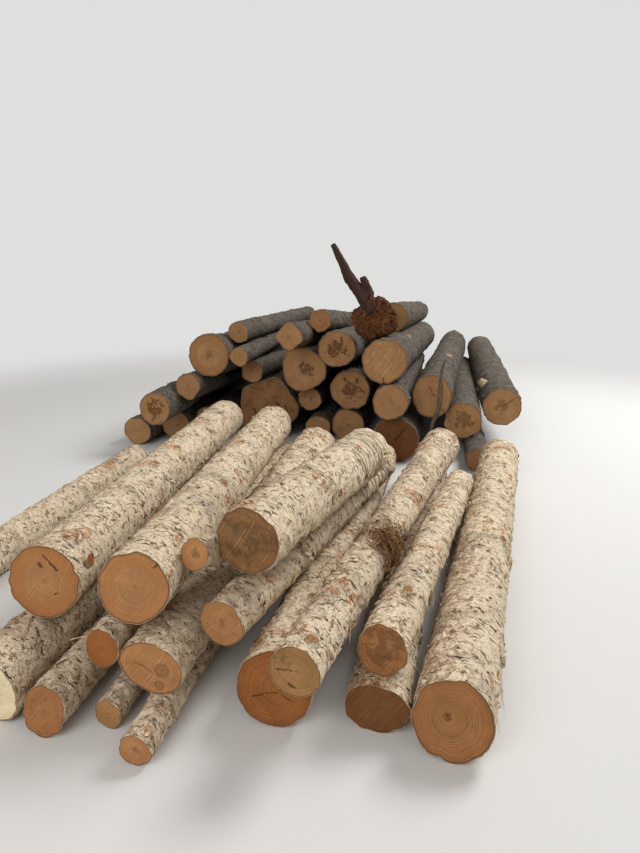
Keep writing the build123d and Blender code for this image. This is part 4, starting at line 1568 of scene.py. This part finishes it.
class LOG_STACK_OT_stick(bpy.types.Operator):
    """Build the stick that leans on the back row"""

    bl_idname = "log_stack.stick"
    bl_label = "Leaning Stick"

    def execute(self, context):
        """Build the stick and its twig as one piece."""
        log = Log(LEANED_ON)
        foot = log.start - STICK_GAP * log.ahead
        rise = foot[2] * log.up
        shape = Shape()
        for limb, sides, seed in ((STICK, 14, 21), (TWIG, 8, 22)):
            path, radii = limb_line(limb, 44, foot - rise, log.right, rise)
            add_limb(shape, path, radii, sides, 0.05, seed)
        material = stick_material(settings(context).colours)
        hand_over(shape, "bare_stick", (material,), "weathered_stick", "leaning_stick")
        return {"FINISHED"}


def area_lamp(name, place, aim, width, power):
    """Add a soft square lamp that faces a point."""
    lamp = bpy.data.lights.new(name, "AREA")
    lamp.size, lamp.energy = width, power
    holder = placed(name, lamp)
    ahead = unit(np.array(aim) - np.array(place))
    holder.location = place
    holder.rotation_euler = (math.acos(-ahead[2]), 0.0, math.atan2(ahead[1], ahead[0]) - math.pi / 2)


def background_share(graph):
    """1 for what the camera, gloss and glass see, and 0 for light on the object."""
    path = graph.nodes.new("ShaderNodeLightPath")
    seen = graph.math("MAXIMUM", path.outputs["Is Camera Ray"], path.outputs["Is Glossy Ray"])
    return graph.math("MAXIMUM", seen, path.outputs["Is Transmission Ray"])


def make_floor(stage):
    """A round pale floor. Some metres away it fades into the room's own colour."""
    sides = 96
    across, ahead = cartesian(stage.floor_radius, np.arange(sides) * TURN / sides)
    shape = Shape()
    shape.add_points(np.vstack([np.zeros((1, 3)), np.stack([across, ahead, 0 * ahead], axis=1)]))
    shape.add_faces(fan_faces(0, 1 + np.arange(sides)))
    graph = Graph("pale_floor")
    graph.put(graph.shader.inputs["Base Color"], solid(stage.floor))
    graph.put(graph.shader.inputs["Roughness"], 0.9)
    away = graph.vectors("LENGTH", graph.add("ShaderNodeTexCoord").outputs["Object"])
    glow = graph.add("ShaderNodeEmission", {"Color": solid(stage.room)})
    share = graph.times(graph.ramp(away, 3.2, 6.5), background_share(graph))
    inputs = {0: share, 1: graph.shader.outputs["BSDF"], 2: glow.outputs["Emission"]}
    mixer = graph.add("ShaderNodeMixShader", inputs)
    graph.put(graph.nodes["Material Output"].inputs["Surface"], mixer.outputs["Shader"])
    return shape.piece("floor", (graph.material,), smooth=False)


class Room(Graph):
    """The world's nodes."""

    def __init__(self, world):
        world.use_nodes = True
        self.nodes, self.links = world.node_tree.nodes, world.node_tree.links
        self.nodes.clear()


def light_world(world, stage):
    """An even pale room, dim as light."""
    room = Room(world)
    dim = room.add("ShaderNodeBackground", {"Color": (1.0, 0.98, 0.95, 1.0), "Strength": 0.4})
    pale = room.add("ShaderNodeBackground", {"Color": solid(stage.room), "Strength": 1.0})
    inputs = {0: background_share(room), 1: dim.outputs["Background"], 2: pale.outputs["Background"]}
    mixer = room.add("ShaderNodeMixShader", inputs)
    room.add("ShaderNodeOutputWorld", {"Surface": mixer.outputs["Shader"]})


class LOG_STACK_OT_stage(bpy.types.Operator):
    """Set the floor, the lamps and the camera"""

    bl_idname = "log_stack.stage"
    bl_label = "Stage"

    def execute(self, context):
        """Make a pale floor, soft lamps and a camera where the viewer stood."""
        scene, stage = context.scene, settings(context).stage
        low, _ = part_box("front_log_01")
        camera = bpy.data.cameras.new("viewer")
        camera.lens, camera.sensor_width, camera.sensor_fit = stage.lens, 36.0, "AUTO"
        holder = placed("viewer", camera)
        holder.location = (low[0] - stage.eye_left, low[1] - stage.eye_back, stage.eye_height)
        holder.rotation_euler = (math.pi / 2 - stage.eye_down, 0.0, 0.0)
        scene.camera = holder
        make_floor(stage)
        area_lamp("key_lamp", (4.6, 1.2, 6.2), (0.0, -0.6, 0.3), 3.0, stage.key_power)
        area_lamp("front_lamp", (-3.4, -8.0, 4.2), (0.0, -1.0, 0.4), 5.0, stage.fill_power)
        scene.world = scene.world or bpy.data.worlds.new("pale_room")
        light_world(scene.world, stage)
        scene.view_settings.view_transform = "Standard"
        return {"FINISHED"}


class LogStackSettings(bpy.types.PropertyGroup):
    """All settings of the stack."""

    bark: bpy.props.PointerProperty(type=BarkSettings, name="Bark", description="Relief of the bark")
    flakes: bpy.props.PointerProperty(type=FlakeSettings, name="Flakes", description="Loose flakes")
    litter: bpy.props.PointerProperty(type=LitterSettings, name="Litter", description="Needles and twigs")
    colours: bpy.props.PointerProperty(type=ColourSettings, name="Colours", description="Colours")
    cuts: bpy.props.PointerProperty(type=CutSettings, name="Cuts", description="Sawn ends")
    stage: bpy.props.PointerProperty(type=StageSettings, name="Stage", description="Camera and lamps")


class LOG_STACK_PT_panel(bpy.types.Panel):
    """Buttons for the stack of logs"""

    bl_label = "Stack of Logs"
    bl_space_type = "VIEW_3D"
    bl_region_type = "UI"
    bl_category = "Logs"

    def draw(self, context):
        """List the operators."""
        for operator in OPERATORS:
            self.layout.operator(operator.bl_idname)


OPERATORS = (
    LOG_STACK_OT_front_row,
    LOG_STACK_OT_back_row,
    LOG_STACK_OT_knots,
    LOG_STACK_OT_flakes,
    LOG_STACK_OT_strips,
    LOG_STACK_OT_litter,
    LOG_STACK_OT_stump,
    LOG_STACK_OT_stick,
    LOG_STACK_OT_stage,
)
SETTINGS = (
    BarkSettings,
    FlakeSettings,
    LitterSettings,
    ColourSettings,
    CutSettings,
    StageSettings,
    LogStackSettings,
)


def register():
    """Add the classes, and the settings to the scene."""
    for item in (*SETTINGS, *OPERATORS, LOG_STACK_PT_panel):
        bpy.utils.register_class(item)
    bpy.types.Scene.log_stack = bpy.props.PointerProperty(type=LogStackSettings)


def unregister():
    """Take them away again."""
    del bpy.types.Scene.log_stack
    for item in (LOG_STACK_PT_panel, *reversed(OPERATORS), *reversed(SETTINGS)):
        bpy.utils.unregister_class(item)


def main():
    """Build every piece through its operator."""
    register()
    bpy.ops.log_stack.front_row()
    bpy.ops.log_stack.back_row()
    bpy.ops.log_stack.knots()
    bpy.ops.log_stack.flakes()
    bpy.ops.log_stack.strips()
    bpy.ops.log_stack.litter()
    bpy.ops.log_stack.stump()
    bpy.ops.log_stack.stick()
    bpy.ops.log_stack.stage()


if __name__ == "__main__":
    main()
